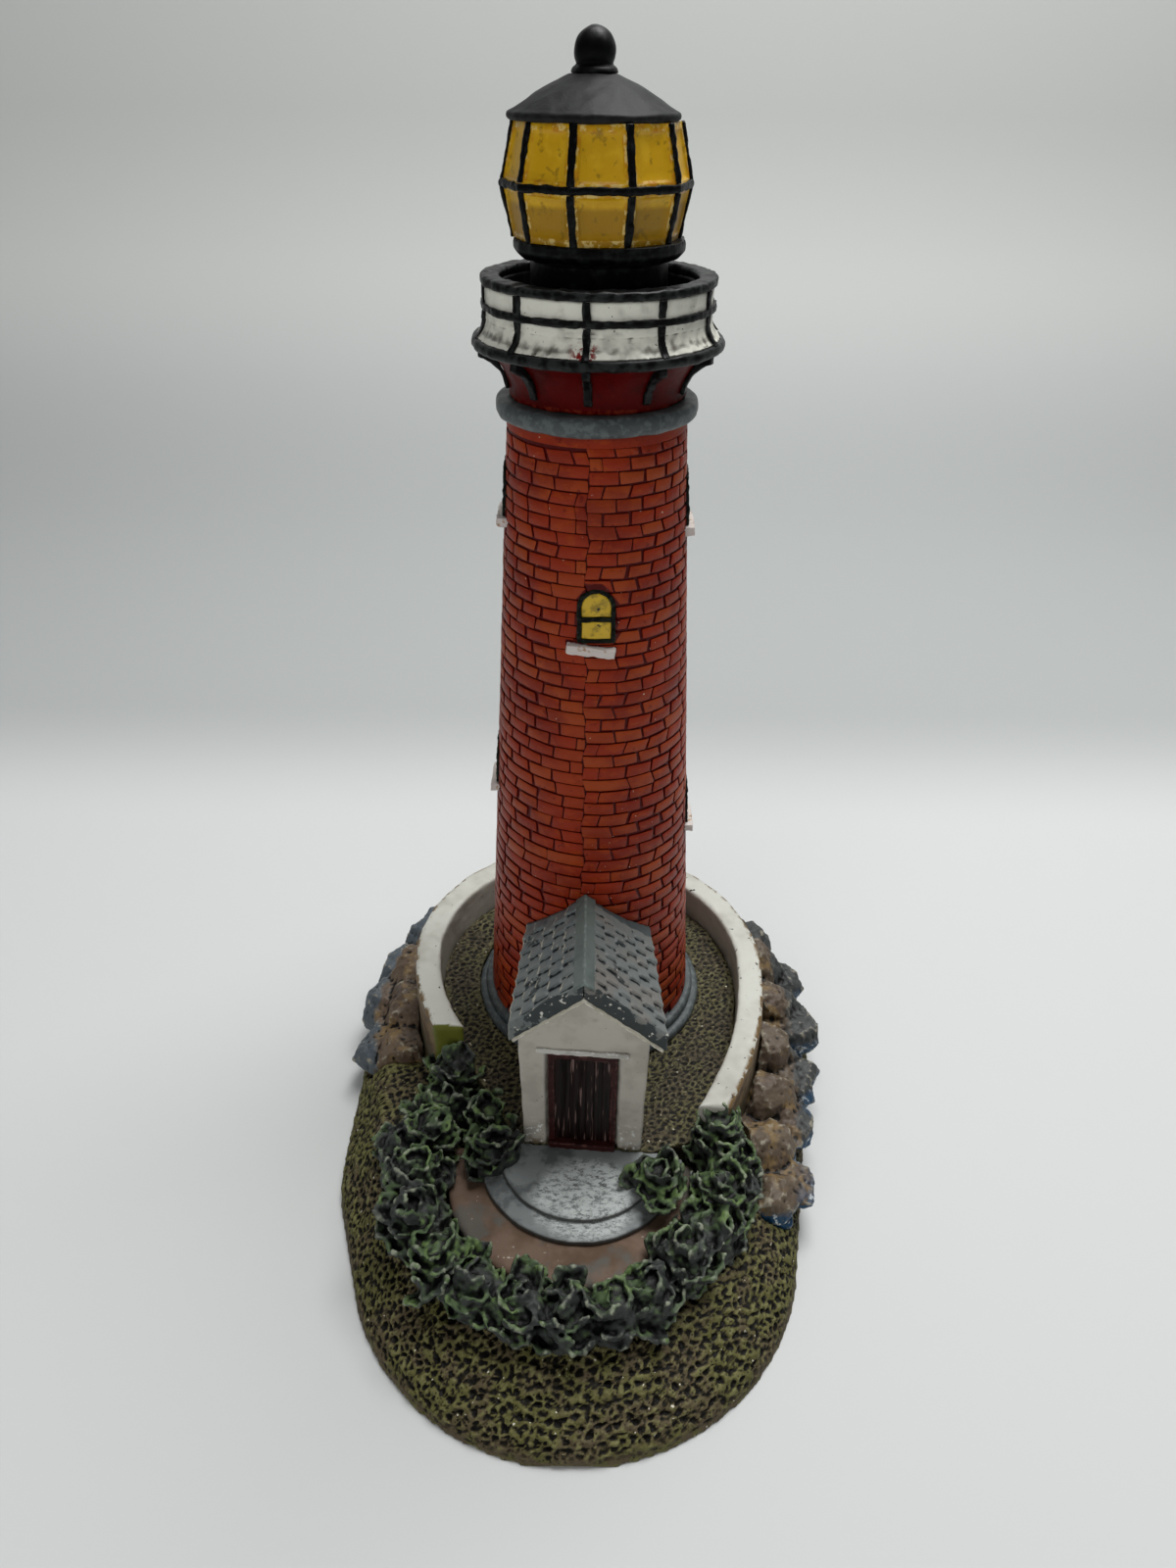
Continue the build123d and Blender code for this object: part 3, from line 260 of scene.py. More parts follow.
# Paint: a principled shader and the nodes that feed it
class Paint:
    """A hand-painted finish, built up in layers from object coordinates."""

    def __init__(self, name, colour, roughness, sheen):
        self.material = bpy.data.materials.new(name)
        self.material.use_nodes = True
        self.tree = self.material.node_tree
        self.shader = self.tree.nodes["Principled BSDF"]
        self.shader.inputs["Base Color"].default_value = (*colour, 1)
        self.shader.inputs["Roughness"].default_value = roughness
        self.shader.inputs["Specular IOR Level"].default_value = sheen
        self.place = self.node("ShaderNodeTexCoord").outputs["Object"]
        self.colour = (*colour, 1)

    def node(self, kind, **settings):
        """A new shader node with these settings."""
        made = self.tree.nodes.new(kind)
        for name, value in settings.items():
            setattr(made, name, value)
        return made

    def feed(self, socket, value):
        """Link an output, or set a plain value."""
        if isinstance(value, bpy.types.NodeSocket):
            self.tree.links.new(value, socket)
        else:
            socket.default_value = value

    def placed(self, stretch=(1, 1, 1), turn=(0, 0, 0), shift=(0, 0, 0)):
        """Object coordinates, stretched, turned and shifted."""
        mapping = self.node("ShaderNodeMapping")
        self.feed(mapping.inputs["Vector"], self.place)
        mapping.inputs["Scale"].default_value = stretch
        mapping.inputs["Rotation"].default_value = turn
        mapping.inputs["Location"].default_value = shift
        return mapping.outputs["Vector"]

    def noise(self, size, detail=3, rough=0.6, **placing):
        """Soft cloudy noise with grains of this size, in metres."""
        made = self.node("ShaderNodeTexNoise")
        self.feed(made.inputs["Vector"], self.placed(**placing))
        made.inputs["Scale"].default_value = 1 / size
        made.inputs["Detail"].default_value = detail
        made.inputs["Roughness"].default_value = rough
        return made.outputs["Fac"]

    def cells(self, size):
        """How far a place is from the middle of its cell, with cells of this size."""
        made = self.node("ShaderNodeTexVoronoi")
        self.feed(made.inputs["Vector"], self.placed())
        made.inputs["Scale"].default_value = 1 / size
        return made.outputs["Distance"]

    def attribute(self, name):
        """A number that was stored on the mesh's corners."""
        return self.node("ShaderNodeAttribute", attribute_name=name).outputs["Fac"]

    def along(self, axis):
        """Object coordinate along one axis, in metres."""
        split = self.node("ShaderNodeSeparateXYZ")
        self.feed(split.inputs[0], self.place)
        return split.outputs[axis]

    def facing(self, axis):
        """The surface normal along one axis."""
        split = self.node("ShaderNodeSeparateXYZ")
        self.feed(split.inputs[0], self.node("ShaderNodeNewGeometry").outputs["Normal"])
        return split.outputs[axis]

    def ramp(self, value, low, high):
        """A mask that goes softly from 0 to 1 as the value goes from low to high."""
        made = self.node("ShaderNodeMapRange", interpolation_type="SMOOTHSTEP")
        self.feed(made.inputs["Value"], value)
        made.inputs["From Min"].default_value = low
        made.inputs["From Max"].default_value = high
        return made.outputs["Result"]

    def patches(self, size, low, high, **noise):
        """A mask of soft-edged patches, with grains of this size."""
        return self.ramp(self.noise(size, **noise), low, high)

    def proud(self, low, high):
        """A mask of edges that stand proud, or with low above high, of what lies deep."""
        return self.ramp(self.attribute("proud"), low, high)

    def maths(self, operation, *values):
        """One step of arithmetic on sockets or numbers."""
        made = self.node("ShaderNodeMath", operation=operation)
        for socket, value in zip(made.inputs, values):
            self.feed(socket, value)
        return made.outputs["Value"]

    def times(self, *masks):
        """The product of several masks."""
        made = masks[0]
        for mask in masks[1:]:
            made = self.maths("MULTIPLY", made, mask)
        return made

    def layer(self, colour, *masks):
        """One more coat of paint over the last, as far as all the masks let it show."""
        made = self.node("ShaderNodeMix", data_type="RGBA")
        self.feed(made.inputs["Factor"], self.times(*masks))
        self.feed(made.inputs["A"], self.colour)
        self.feed(made.inputs["B"], (*colour, 1))
        self.colour = made.outputs["Result"]

    def rough(self, share, low, high):
        """Roughness that goes from low to high with the share."""
        made = self.node("ShaderNodeMapRange")
        self.feed(made.inputs["Value"], share)
        made.inputs["To Min"].default_value = low
        made.inputs["To Max"].default_value = high
        self.feed(self.shader.inputs["Roughness"], made.outputs["Result"])

    def grain(self, value, height):
        """A fine bump of this height, in metres."""
        made = self.node("ShaderNodeBump")
        self.feed(made.inputs["Height"], value)
        made.inputs["Distance"].default_value = height
        self.feed(self.shader.inputs["Normal"], made.outputs["Normal"])

    def done(self):
        """The material, with its last coat linked."""
        self.feed(self.shader.inputs["Base Color"], self.colour)
        return self.material


def rgb(red, green_on_lit_tops, blue):
    """A colour given as it shows on screen, 0 to 255."""
    def straight(value):
        share = value / 255
        return share / 12.92 if share <= 0.04045 else ((share + 0.055) / 1.055) ** 2.4
    return straight(red), straight(green_on_lit_tops), straight(blue)


# Sizes that several pieces share, read from the frame where a box gives them
shaft_low, shaft_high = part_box("tower_shaft")
SHAFT_FOOT_Z = shaft_low.z
SHAFT_TOP_Z = shaft_high.z
SHAFT_FOOT_R = shaft_high.x
SHAFT_TOP_R = 17.1 * MM
SHAFT_SLOPE = (SHAFT_FOOT_R - SHAFT_TOP_R) / (SHAFT_TOP_Z - SHAFT_FOOT_Z)
WINDOW_NAMES = ("front", "left_upper", "left_lower", "right_upper", "right_lower")


# Turf on the mound and in the yard
MOUND_TOP_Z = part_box("garden_wall")[0].z
SKIRT_FOOT_Z = 1.4 * MM
SKIRT_HEAD_Z = MOUND_TOP_Z - 0.6 * MM
BROW_Z = MOUND_TOP_Z - 1.2 * MM
BROW_BACK_Y = -20 * MM
YARD_LEVEL_Z = 15 * MM
SOFT_FOOT_Z = 2.2 * MM  # the rim below this is rounded off
FULL_RELIEF_Z = 4 * MM  # the pits get shallow below this
RIPPLE = 7.5 * MM


def turf_paint(name, ridge, hollow, pit, brown):
    paint = Paint(name, ridge, roughness=0.7, sheen=0.3)
    light = tuple(min(1, 1.45 * part + 0.02) for part in ridge)
    fine_pits = paint.cells(1.0 * MM)
    foot = paint.ramp(paint.along("Z"), 3.5 * MM, 0.5 * MM)
    paint.layer(brown, paint.patches(10 * MM, 0.46, 0.58), 0.9)
    paint.layer(light, paint.proud(0.07, 0.2), paint.patches(2.4 * MM, 0.4, 0.6))
    paint.layer(hollow, paint.proud(0.07, -0.03))
    paint.layer(pit, paint.proud(0.0, -0.12))
    paint.layer(pit, paint.ramp(fine_pits, 0.34, 0.12), 0.7)
    paint.layer(brown, foot, paint.patches(2.5 * MM, 0.4, 0.6))
    specks = paint.patches(1.1 * MM, 0.745, 0.765, detail=1)
    paint.layer(rgb(212, 208, 190), specks, paint.proud(0.0, 0.06))
    paint.grain(fine_pits, 0.4 * MM)
    return paint.done()


def pitted(node, name, shown, finish, slot, skin, pit, depth, ripple):
    """Turf: a skin of the solid's shape, pressed into a net of ridges round dark pits."""
    piece = copy_of(node, name)
    recast(piece, skin, 2)
    with editing(piece, shown(*face_middles(piece))):
        bpy.ops.mesh.subdivide(number_cuts=1)
    points, normals = points_of(piece), normals_of(piece)
    weigh(piece, "turf", shown(points, normals) * np.clip(points[:, 2] / FULL_RELIEF_Z, 0.2, 1))
    weigh(piece, "foot", (points[:, 2] < SOFT_FOOT_Z) & (normals[:, 2] > -0.95))
    apply(piece, "SMOOTH", factor=0.5, iterations=10, vertex_group="foot")
    push(piece, relief("CLOUDS", 8 * MM, noise_depth=1), 0.6 * MM, group="turf")
    ripples = relief("WOOD", 0.9, wood_type="RINGNOISE", turbulence=9)
    push(piece, ripples, ripple, group="turf", stretch=(RIPPLE, RIPPLE, RIPPLE))
    net = relief("VORONOI", pit, weight_1=-1.0, weight_2=1.0, noise_intensity=1.7)
    push(piece, net, -depth, 0.35, "turf", stretch=(1.3, 1.0, 0.8), turn=(0.2, 0.1, 0.3))
    push(piece, relief("CLOUDS", pit * 0.8, noise_depth=2), depth * 0.75, 0.5, "turf")
    mark_proud(piece, 5)
    place_piece(piece, finish, slot, node)


def open_mound(points, normals):
    """Where the mound shows: its skirt, and its top round the terrace."""
    skirt = (points[:, 2] > SKIRT_FOOT_Z) & (points[:, 2] < SKIRT_HEAD_Z)
    brow = (points[:, 2] > BROW_Z) & (points[:, 1] < BROW_BACK_Y)
    low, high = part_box("terrace_path")
    paved = ((points > low) & (points < high))[:, :2].all(axis=1)
    return (skirt | brow & ~paved) & (normals[:, 2] > -0.5)


def open_yard(points, normals):
    """The upper side of the yard."""
    return (normals[:, 2] > 0.5) & (points[:, 2] > YARD_LEVEL_Z)


def build_turf():
    mound = turf_paint(
        "mound_turf", ridge=rgb(90, 88, 48), hollow=rgb(44, 39, 22), pit=rgb(9, 7, 3),
        brown=rgb(86, 74, 56))
    pitted(
        "base_mound", "mound_turf", open_mound, mound, "turf",
        skin=0.95 * MM, pit=1.6 * MM, depth=1.25 * MM, ripple=0.25 * MM)
    yard = turf_paint(
        "yard_turf", ridge=rgb(86, 82, 54), hollow=rgb(48, 43, 28), pit=rgb(14, 11, 6),
        brown=rgb(74, 65, 50))
    pitted(
        "yard_turf", "yard_turf_cast", open_yard, yard, "yard_turf",
        skin=0.8 * MM, pit=1.2 * MM, depth=0.9 * MM, ripple=0.05 * MM)


build_turf()


# Garden wall
END_FACE = 0.9 * MM
FOOT_SHADE_Z = (28 * MM, 19 * MM)  # where the painted shade at the foot ends, and where it is full


def wall_paint():
    paint = Paint("wall_white", rgb(196, 197, 188), roughness=0.5, sheen=0.35)
    up = paint.facing("Z")
    outer = paint.attribute("outer")
    side = paint.ramp(up, 0.75, 0.35)
    paint.layer(rgb(150, 146, 134), paint.patches(14 * MM, 0.42, 0.7), 0.6)
    # Painted shade: the wall's sides greyer than its top.
    paint.layer(rgb(150, 146, 134), paint.ramp(up, 0.7, 0.2), 0.6)
    paint.layer(rgb(112, 92, 58), outer, side)
    paint.layer(rgb(74, 52, 30), outer, side, paint.patches(5 * MM, 0.42, 0.6))
    worn = paint.patches(3.2 * MM, 0.47, 0.53, detail=4)
    paint.layer(rgb(108, 84, 48), outer, paint.proud(0.015, 0.05), worn)
    chips = paint.patches(1.6 * MM, 0.69, 0.72, detail=2)
    paint.layer(rgb(40, 34, 26), chips, paint.proud(-0.02, 0.04))
    # Painted shade: darker towards the foot of the wall, in patches.
    foot_shade = paint.ramp(paint.along("Z"), *FOOT_SHADE_Z)
    paint.layer(rgb(70, 66, 52), foot_shade, paint.patches(4 * MM, 0.2, 0.6))
    paint.layer(rgb(92, 96, 32), paint.attribute("arm_end"))
    paint.grain(paint.noise(1.2 * MM), 0.1 * MM)
    return paint.done()


def build_wall():
    piece = copy_of("garden_wall")
    recast(piece, 0.6 * MM, 2)
    push(piece, relief("CLOUDS", 9 * MM, noise_depth=2), 0.7 * MM)
    hand_wobble(piece, 2.5 * MM, 0.2 * MM)
    points = points_of(piece)
    outward = points[:, :2].copy()
    outward[:, 1] = np.maximum(outward[:, 1], 0)
    outward /= from_axis(outward)[:, None]
    facing_out = (normals_of(piece)[:, :2] * outward).sum(1)
    mark(piece, "outer", np.clip(5 * facing_out - 0.8, 0, 1))
    left = points[:, 0] < 0
    mark(piece, "arm_end", left & (points[:, 1] < points[left, 1].min() + END_FACE))
    mark_proud(piece, 5)
    place_piece(piece, wall_paint(), "wall_white", "garden_wall")


build_wall()


# Terrace and steps
TREAD_MIDDLE = (0.52, 0.34)  # of a step's width and depth
TREAD_SQUASH = 1.3
TREAD_R = 15 * MM


def build_terrace():
    paint = Paint("terrace_earth", rgb(120, 99, 84), roughness=0.7, sheen=0.25)
    paint.layer(rgb(98, 78, 62), paint.patches(8 * MM, 0.4, 0.65))
    paint.layer(rgb(96, 96, 90), paint.patches(12 * MM, 0.54, 0.64, shift=(3, 1, 0)), 0.8)
    specks = paint.patches(1.3 * MM, 0.66, 0.7, detail=2)
    paint.layer(rgb(190, 182, 168), specks, paint.patches(9 * MM, 0.5, 0.6))
    paint.grain(paint.noise(1.5 * MM), 0.18 * MM)
    piece = copy_of("terrace_path")
    recast(piece, 0.8 * MM, 1)
    push(piece, relief("CLOUDS", 6 * MM, noise_depth=2), 0.7 * MM)
    place_piece(piece, paint.done(), "terrace_earth", "terrace_path")


def step_paint():
    paint = Paint("step_stone", rgb(124, 129, 128), roughness=0.5, sheen=0.35)
    paint.layer(rgb(90, 94, 94), paint.patches(5 * MM, 0.45, 0.62))
    strokes = paint.patches(
        1.1 * MM, 0.40, 0.54, detail=5, rough=0.85, stretch=(0.7, 1.2, 1), turn=(0, 0, 0.4))
    trodden = paint.maths("ADD", paint.attribute("tread"), paint.times(paint.noise(6 * MM), 0.5))
    paint.layer(rgb(194, 200, 197), strokes, paint.ramp(trodden, 0.4, 0.75))
    # Painted shade: the risers and sides darker than the treads.
    paint.layer(rgb(64, 62, 58), paint.ramp(paint.facing("Z"), 0.75, 0.35), 0.85)
    paint.layer(rgb(46, 36, 30), paint.proud(-0.015, -0.07))
    paint.grain(paint.noise(0.6 * MM), 0.08 * MM)
    return paint.done()


def build_steps():
    finish = step_paint()
    for node in ("step_lower", "step_upper"):
        low, high = (np.array(corner)[:2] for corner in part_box(node))
        piece = copy_of(node)
        recast(piece, 0.4 * MM, 1)
        hand_wobble(piece, 3 * MM, 0.3 * MM)
        middle = low + (high - low) * TREAD_MIDDLE
        away = (points_of(piece)[:, :2] - middle) * (1, TREAD_SQUASH)
        mark(piece, "tread", 1 - from_axis(away) / TREAD_R)
        mark_proud(piece, 4)
        place_piece(piece, finish, "step_stone", node)


build_terrace()
build_steps()


# Tower: bricks laid in courses that shrink with the taper.  Shares are of the shaft's radius.
BRICKS_ROUND = 21.4
BRICK_SHARE = math.tau / BRICKS_ROUND
BRICK_SHAPE = (1, 0.18, 0.46)
BRICK_BEVEL = 0.035
BRICK_DEPTH = 1.3  # of the mortar's depth below the face
BOND_SHIFT = 0.5
HALF_SHIFT = 0.2
LEAST_REST = 0.3  # of a brick or a course, less than which joins the one before
FOOT_COURSE_SHARE = 0.130
HEAD_COURSE_SHARE = 0.142
JOINT_SHARE = 0.031
BED_SHARE = 0.022
MORTAR_SHARE = 0.019
HEAD_BAND = 1.9 * MM  # plain, under the collar
HEAD_LINE = math.log(SHAFT_FOOT_R / SHAFT_TOP_R) / SHAFT_SLOPE
LONG_CHANCE = 0.04
LONG_BRICK = 1.5
SMEAR_CHANCE = 0.05
SMEAR_SHARE = 0.003
CORNER_PULL = 0.4
SEAM = math.radians(-95)
SEAM_REACH = 0.14
SEAM_SLIP_SHARE = 0.42
BRICK_TILT = math.radians(2.6)
SWAY = 0.016
CORE_RINGS = 24


def unit_brick():
    """One brick before it is laid: a block with soft edges, cut twice to follow the round."""
    bpy.ops.mesh.primitive_cube_add(size=1)
    brick = newest("brick")
    brick.scale = BRICK_SHAPE
    settle(brick)
    apply(brick, "BEVEL", width=BRICK_BEVEL, segments=1, limit_method="ANGLE")
    with editing(brick):
        for cut in (-0.17, 0.17):
            bpy.ops.mesh.select_all(action="SELECT")
            bpy.ops.mesh.bisect(plane_co=(cut, 0, 0), plane_no=(1, 0, 0))
    return brick


def wrap_round(points):
    """Carry the flat wall, drawn in shares of the radius, round the tapered shaft."""
    bearing, out, up = points.T
    bearing = bearing + SWAY * (np.sin(9 * up) + 0.8 * np.sin(23 * up + 1))
    radius = SHAFT_FOOT_R * np.exp(-SHAFT_SLOPE * up)
    height = SHAFT_FOOT_Z + (SHAFT_FOOT_R - radius) / SHAFT_SLOPE
    fall = math.tan(BRICK_TILT) * radius * np.cos(bearing)
    height = height - fall * (SHAFT_TOP_Z - height) / (SHAFT_TOP_Z - SHAFT_FOOT_Z)
    height = np.clip(height, SHAFT_FOOT_Z, SHAFT_TOP_Z)
    reach = SHAFT_FOOT_R - SHAFT_SLOPE * (height - SHAFT_FOOT_Z) + out * radius
    return np.stack([reach * np.cos(bearing), reach * np.sin(bearing), height], axis=1)


def bent(shares, dice, most):
    """The block with each of its four corners pulled a little out of place."""
    x, z = shares[:, 0] + 0.5, shares[:, 2] + 0.5
    pulls = [(dice.uniform(-most, most), dice.uniform(-most, most)) for _ in range(4)]
    blend = ((1 - x) * (1 - z), x * (1 - z), (1 - x) * z, x * z)
    across = sum(part * pull[0] for part, pull in zip(blend, pulls))
    up = sum(part * pull[1] for part, pull in zip(blend, pulls))
    return across, up


def brick_spots(dice):
    """Ends, foot, head, joints and face of each brick, in two halves that meet at the seams."""
    band_line = HEAD_LINE - HEAD_BAND / SHAFT_TOP_R
    for half in (0, 1):
        start = SEAM + half * math.pi
        end = start + math.pi
        foot = -FOOT_COURSE_SHARE * (1 - SEAM_SLIP_SHARE * half)
        course = 0
        while foot < band_line - LEAST_REST * HEAD_COURSE_SHARE:
            climb = max(0, foot / HEAD_LINE)
            rise = FOOT_COURSE_SHARE + (HEAD_COURSE_SHARE - FOOT_COURSE_SHARE) * climb
            edge = start - BRICK_SHARE * (BOND_SHIFT * (course % 2) + HALF_SHIFT * half)
            while edge < end:
                size = BRICK_SHARE * dice.uniform(0.92, 1.08)
                if dice.random() < LONG_CHANCE:
                    size *= LONG_BRICK
                left, right = max(edge, start), edge + size
                if right > end - LEAST_REST * BRICK_SHARE:
                    right = end
                edge = right
                at_seam = min(left - start, end - right) < SEAM_REACH
                if at_seam or dice.random() < SMEAR_CHANCE:
                    joint, bed = dice.uniform(0.1, 0.4), dice.uniform(0.2, 0.9)
                    face = dice.uniform(-0.0015, 0.0025) + SMEAR_SHARE
                else:
                    joint, bed = dice.uniform(0.85, 1.15), dice.uniform(0.85, 1.2)
                    face = dice.uniform(-0.0015, 0.0025)
                joint, bed = joint * JOINT_SHARE, bed * BED_SHARE
                yield left, right, foot, min(foot + rise, band_line + 0.5 * bed), joint, bed, face
            foot += rise
            course += 1


def lay_bricks(dice):
    """Every brick of the shaft in one mesh, each with a tone of its own."""
    brick = unit_brick()
    unit = points_of(brick)
    shares = unit / np.ptp(unit, axis=0)
    faces = [list(polygon.vertices) for polygon in brick.data.polygons]
    drop(brick)
    corners, sides, tones = [], [], []
    for left, right, foot, head, joint, bed, face in brick_spots(dice):
        across, up = bent(shares, dice, CORNER_PULL * min(joint, bed))
        laid = np.empty_like(shares)
        laid[:, 0] = (left + right) / 2 + shares[:, 0] * (right - left - joint) + across
        laid[:, 1] = face - (0.5 + shares[:, 1]) * MORTAR_SHARE * BRICK_DEPTH
        laid[:, 2] = (foot + head) / 2 + shares[:, 2] * (head - foot - bed) + up
        first = len(corners) * len(shares)
        corners.append(laid)
        sides.extend([first + k for k in face_corners] for face_corners in faces)
        tones.append(dice.random())
    mesh = bpy.data.meshes.new("bricks")
    mesh.from_pydata(wrap_round(np.concatenate(corners)).tolist(), [], sides)
    bricks = new_object("tower_brickwork", mesh)
    mark(bricks, "tone", np.repeat(tones, len(shares)))
    mark(bricks, "faced", np.tile(0.5 - shares[:, 1], len(tones)))
    with editing(bricks):
        bpy.ops.mesh.normals_make_consistent(inside=False)
    return bricks


def brick_paint():
    paint = Paint("brick", rgb(140, 42, 14), roughness=0.45, sheen=0.22)
    paint.layer(rgb(150, 62, 24), paint.ramp(paint.attribute("tone"), 0.35, 0.9))
    paint.layer(rgb(118, 32, 14), paint.patches(12 * MM, 0.42, 0.66), 0.8)
    paint.layer(rgb(152, 58, 10), paint.patches(3 * MM, 0.5, 0.68, stretch=(1, 1, 2)), 0.6)
    paint.layer(rgb(88, 10, 3), paint.patches(1.8 * MM, 0.62, 0.70, detail=4), 0.6)
    paint.layer(rgb(76, 5, 2), paint.ramp(paint.attribute("faced"), 0.92, 0.66))
    paint.layer(rgb(205, 190, 175), paint.patches(0.7 * MM, 0.785, 0.805, detail=1))
    paint.rough(paint.noise(4 * MM), 0.36, 0.55)
    paint.grain(paint.noise(0.8 * MM), 0.08 * MM)
    return paint.done()


def window_cutters(kind):
    """Solid blocks in the shape of every window's frame or sill."""
    blocks = [copy_of(f"window_{place}_{kind}", "cutters") for place in WINDOW_NAMES]
    for block in blocks:
        with editing(block):
            bpy.ops.mesh.convex_hull()
    return join(blocks)


def drum(name, foot_r, head_r, foot_z, height, tone, faced):
    """A tapered drum on the tower's axis, marked as the bricks are."""
    bpy.ops.mesh.primitive_cone_add(
        vertices=120, radius1=foot_r, radius2=head_r, depth=height,
        location=(0, 0, foot_z + height / 2))
    piece = newest(name)
    settle(piece)
    count = len(piece.data.vertices)
    mark(piece, "tone", np.full(count, tone))
    mark(piece, "faced", np.full(count, faced))
    return piece


def build_shaft():
    bricks = lay_bricks(random.Random(7))
    height = SHAFT_TOP_Z - SHAFT_FOOT_Z
    core = drum(
        "mortar", SHAFT_FOOT_R * (1 - MORTAR_SHARE), SHAFT_TOP_R * (1 - MORTAR_SHARE),
        SHAFT_FOOT_Z, height, tone=0.2, faced=0.0)
    with editing(core):
        for ring in range(1, CORE_RINGS):
            level = SHAFT_FOOT_Z + height * ring / CORE_RINGS
            bpy.ops.mesh.select_all(action="SELECT")
            bpy.ops.mesh.bisect(plane_co=(0, 0, level), plane_no=(0, 0, 1))
    hand_wobble(core, 4 * MM, 0.2 * MM)
    band = drum(
        "band", SHAFT_TOP_R + SHAFT_SLOPE * HEAD_BAND, SHAFT_TOP_R,
        SHAFT_TOP_Z - HEAD_BAND, HEAD_BAND, tone=0.2, faced=1.0)
    for kind in ("frame", "sill"):
        cutters = window_cutters(kind)
        for piece in (bricks, core):
            apply(piece, "BOOLEAN", object=cutters, operation="DIFFERENCE", solver="EXACT")
        drop(cutters)
    place_piece(join([bricks, core, band]), brick_paint(), "brick", "tower_shaft", sharp=40)


build_shaft()


# Plinth, collar and corbel
def stone_paint(name, colour, dark, light, sheen=0.4):
    paint = Paint(name, colour, roughness=0.45, sheen=sheen)
    paint.layer(dark, paint.patches(6 * MM, 0.45, 0.7), 0.7)
    paint.layer(light, paint.proud(0.01, 0.06), paint.patches(1.5 * MM, 0.45, 0.6))
    paint.layer(dark, paint.proud(-0.01, -0.06))
    paint.grain(paint.noise(1 * MM), 0.06 * MM)
    return paint.done()


def cast_piece(node, finish, slot, voxel, soften=1, wobble=(3, 0.25), shape=None):
    """A solid's own shape with a casting's uneven skin.  Voxel, grain and height are in mm."""
    piece = copy_of(node)
    recast(piece, voxel * MM, soften)
    if shape:
        move_points(piece, shape(points_of(piece)))
    grain, height = wobble
    hand_wobble(piece, grain * MM, height * MM)
    mark_proud(piece, 4)
    place_piece(piece, finish, slot, node)
    return piece


def build_rings():
    grey = stone_paint("plinth_grey", rgb(72, 78, 79), dark=rgb(60, 65, 66), light=rgb(90, 97, 97))
    cast_piece("plinth_lower", grey, "plinth_grey", 0.55, 1, (6, 0.5))
    cast_piece("plinth_upper", grey, "plinth_grey", 0.55, 1, (6, 0.5))
    cast_piece("tower_collar", grey, "plinth_grey", 0.45, 1, (5, 0.5))
    red = stone_paint(
        "corbel_red", rgb(78, 2, 1), dark=rgb(50, 1, 0), light=rgb(104, 32, 18), sheen=0.08)
    cast_piece("corbel_drum", red, "corbel_red", 0.45, 1, (5, 0.5))


build_rings()


# Black ironwork, dry-brushed grey on its edges, with a painted highlight on its upper sides
def black_paint(name, base, brushed, rough):
    paint = Paint(name, base, roughness=rough, sheen=0.15)
    # Painted highlight: the upper sides greyer, in patches.
    upper = paint.ramp(paint.facing("Z"), 0.3, 0.8)
    paint.layer(brushed, paint.proud(0.015, 0.07), paint.patches(1.6 * MM, 0.4, 0.62))
    paint.layer(brushed, upper, paint.patches(3 * MM, 0.46, 0.68, detail=4), 0.5)
    paint.grain(paint.noise(1 * MM), 0.06 * MM)
    return paint.done()


gallery_black = black_paint("gallery_black", rgb(8, 8, 8), rgb(40, 42, 42), 0.36)
lantern_black = black_paint("lantern_black", rgb(3, 3, 3), rgb(26, 27, 28), 0.42)
window_black = black_paint("window_black", rgb(6, 9, 6), rgb(28, 38, 27), 0.38)


# Gallery: the parapet's sweep, and a splash of the corbel's red on it
PARAPET_R = 20.5 * MM
PARAPET_WALL = 0.8 * MM
SWEEP_RISE = 3.4 * MM
SPLASH_X = -2.4 * MM
SPLASH_REACH = (3 * MM, 1.2 * MM)  # where it ends, and where it is full
SPLASH_Y = (-19 * MM, -20 * MM)
SPLASH_Z = (186.2 * MM, 184.8 * MM)


def hollow_sweep(points):
    """Draw the foot of the parapet in, from a bulge to a hollow curve."""
    low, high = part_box("gallery_parapet")
    flare = high.x - PARAPET_R
    bend = (flare**2 + SWEEP_RISE**2) / (2 * flare)
    down = np.clip(low.z + SWEEP_RISE - points[:, 2], 0, SWEEP_RISE)
    hollow = bend - np.sqrt(bend**2 - down**2)
    bulge = flare - bend + np.sqrt(bend**2 - (SWEEP_RISE - down) ** 2)
    reach = from_axis(points)
    drawn = np.where(reach > PARAPET_R - 0.5 * MM, reach - (bulge - hollow), reach)
    points[:, :2] *= (drawn / np.maximum(reach, MM))[:, None]
    return points


def parapet_paint():
    paint = Paint("gallery_white", rgb(228, 227, 214), roughness=0.4, sheen=0.4)
    paint.layer(rgb(150, 148, 138), paint.patches(5 * MM, 0.45, 0.7), 0.6)
    paint.layer(rgb(96, 92, 82), paint.proud(-0.01, -0.05))
    paint.layer(rgb(60, 56, 48), paint.patches(0.9 * MM, 0.71, 0.74, detail=2))
    aside = paint.maths("ABSOLUTE", paint.maths("SUBTRACT", paint.along("X"), SPLASH_X))
    paint.layer(
        rgb(120, 16, 8), paint.ramp(aside, *SPLASH_REACH), paint.ramp(paint.along("Y"), *SPLASH_Y),
        paint.ramp(paint.along("Z"), *SPLASH_Z), paint.patches(1.2 * MM, 0.46, 0.52))
    paint.layer(rgb(14, 14, 14), paint.attribute("inside"))
    paint.grain(paint.noise(1.4 * MM), 0.1 * MM)
    return paint.done()


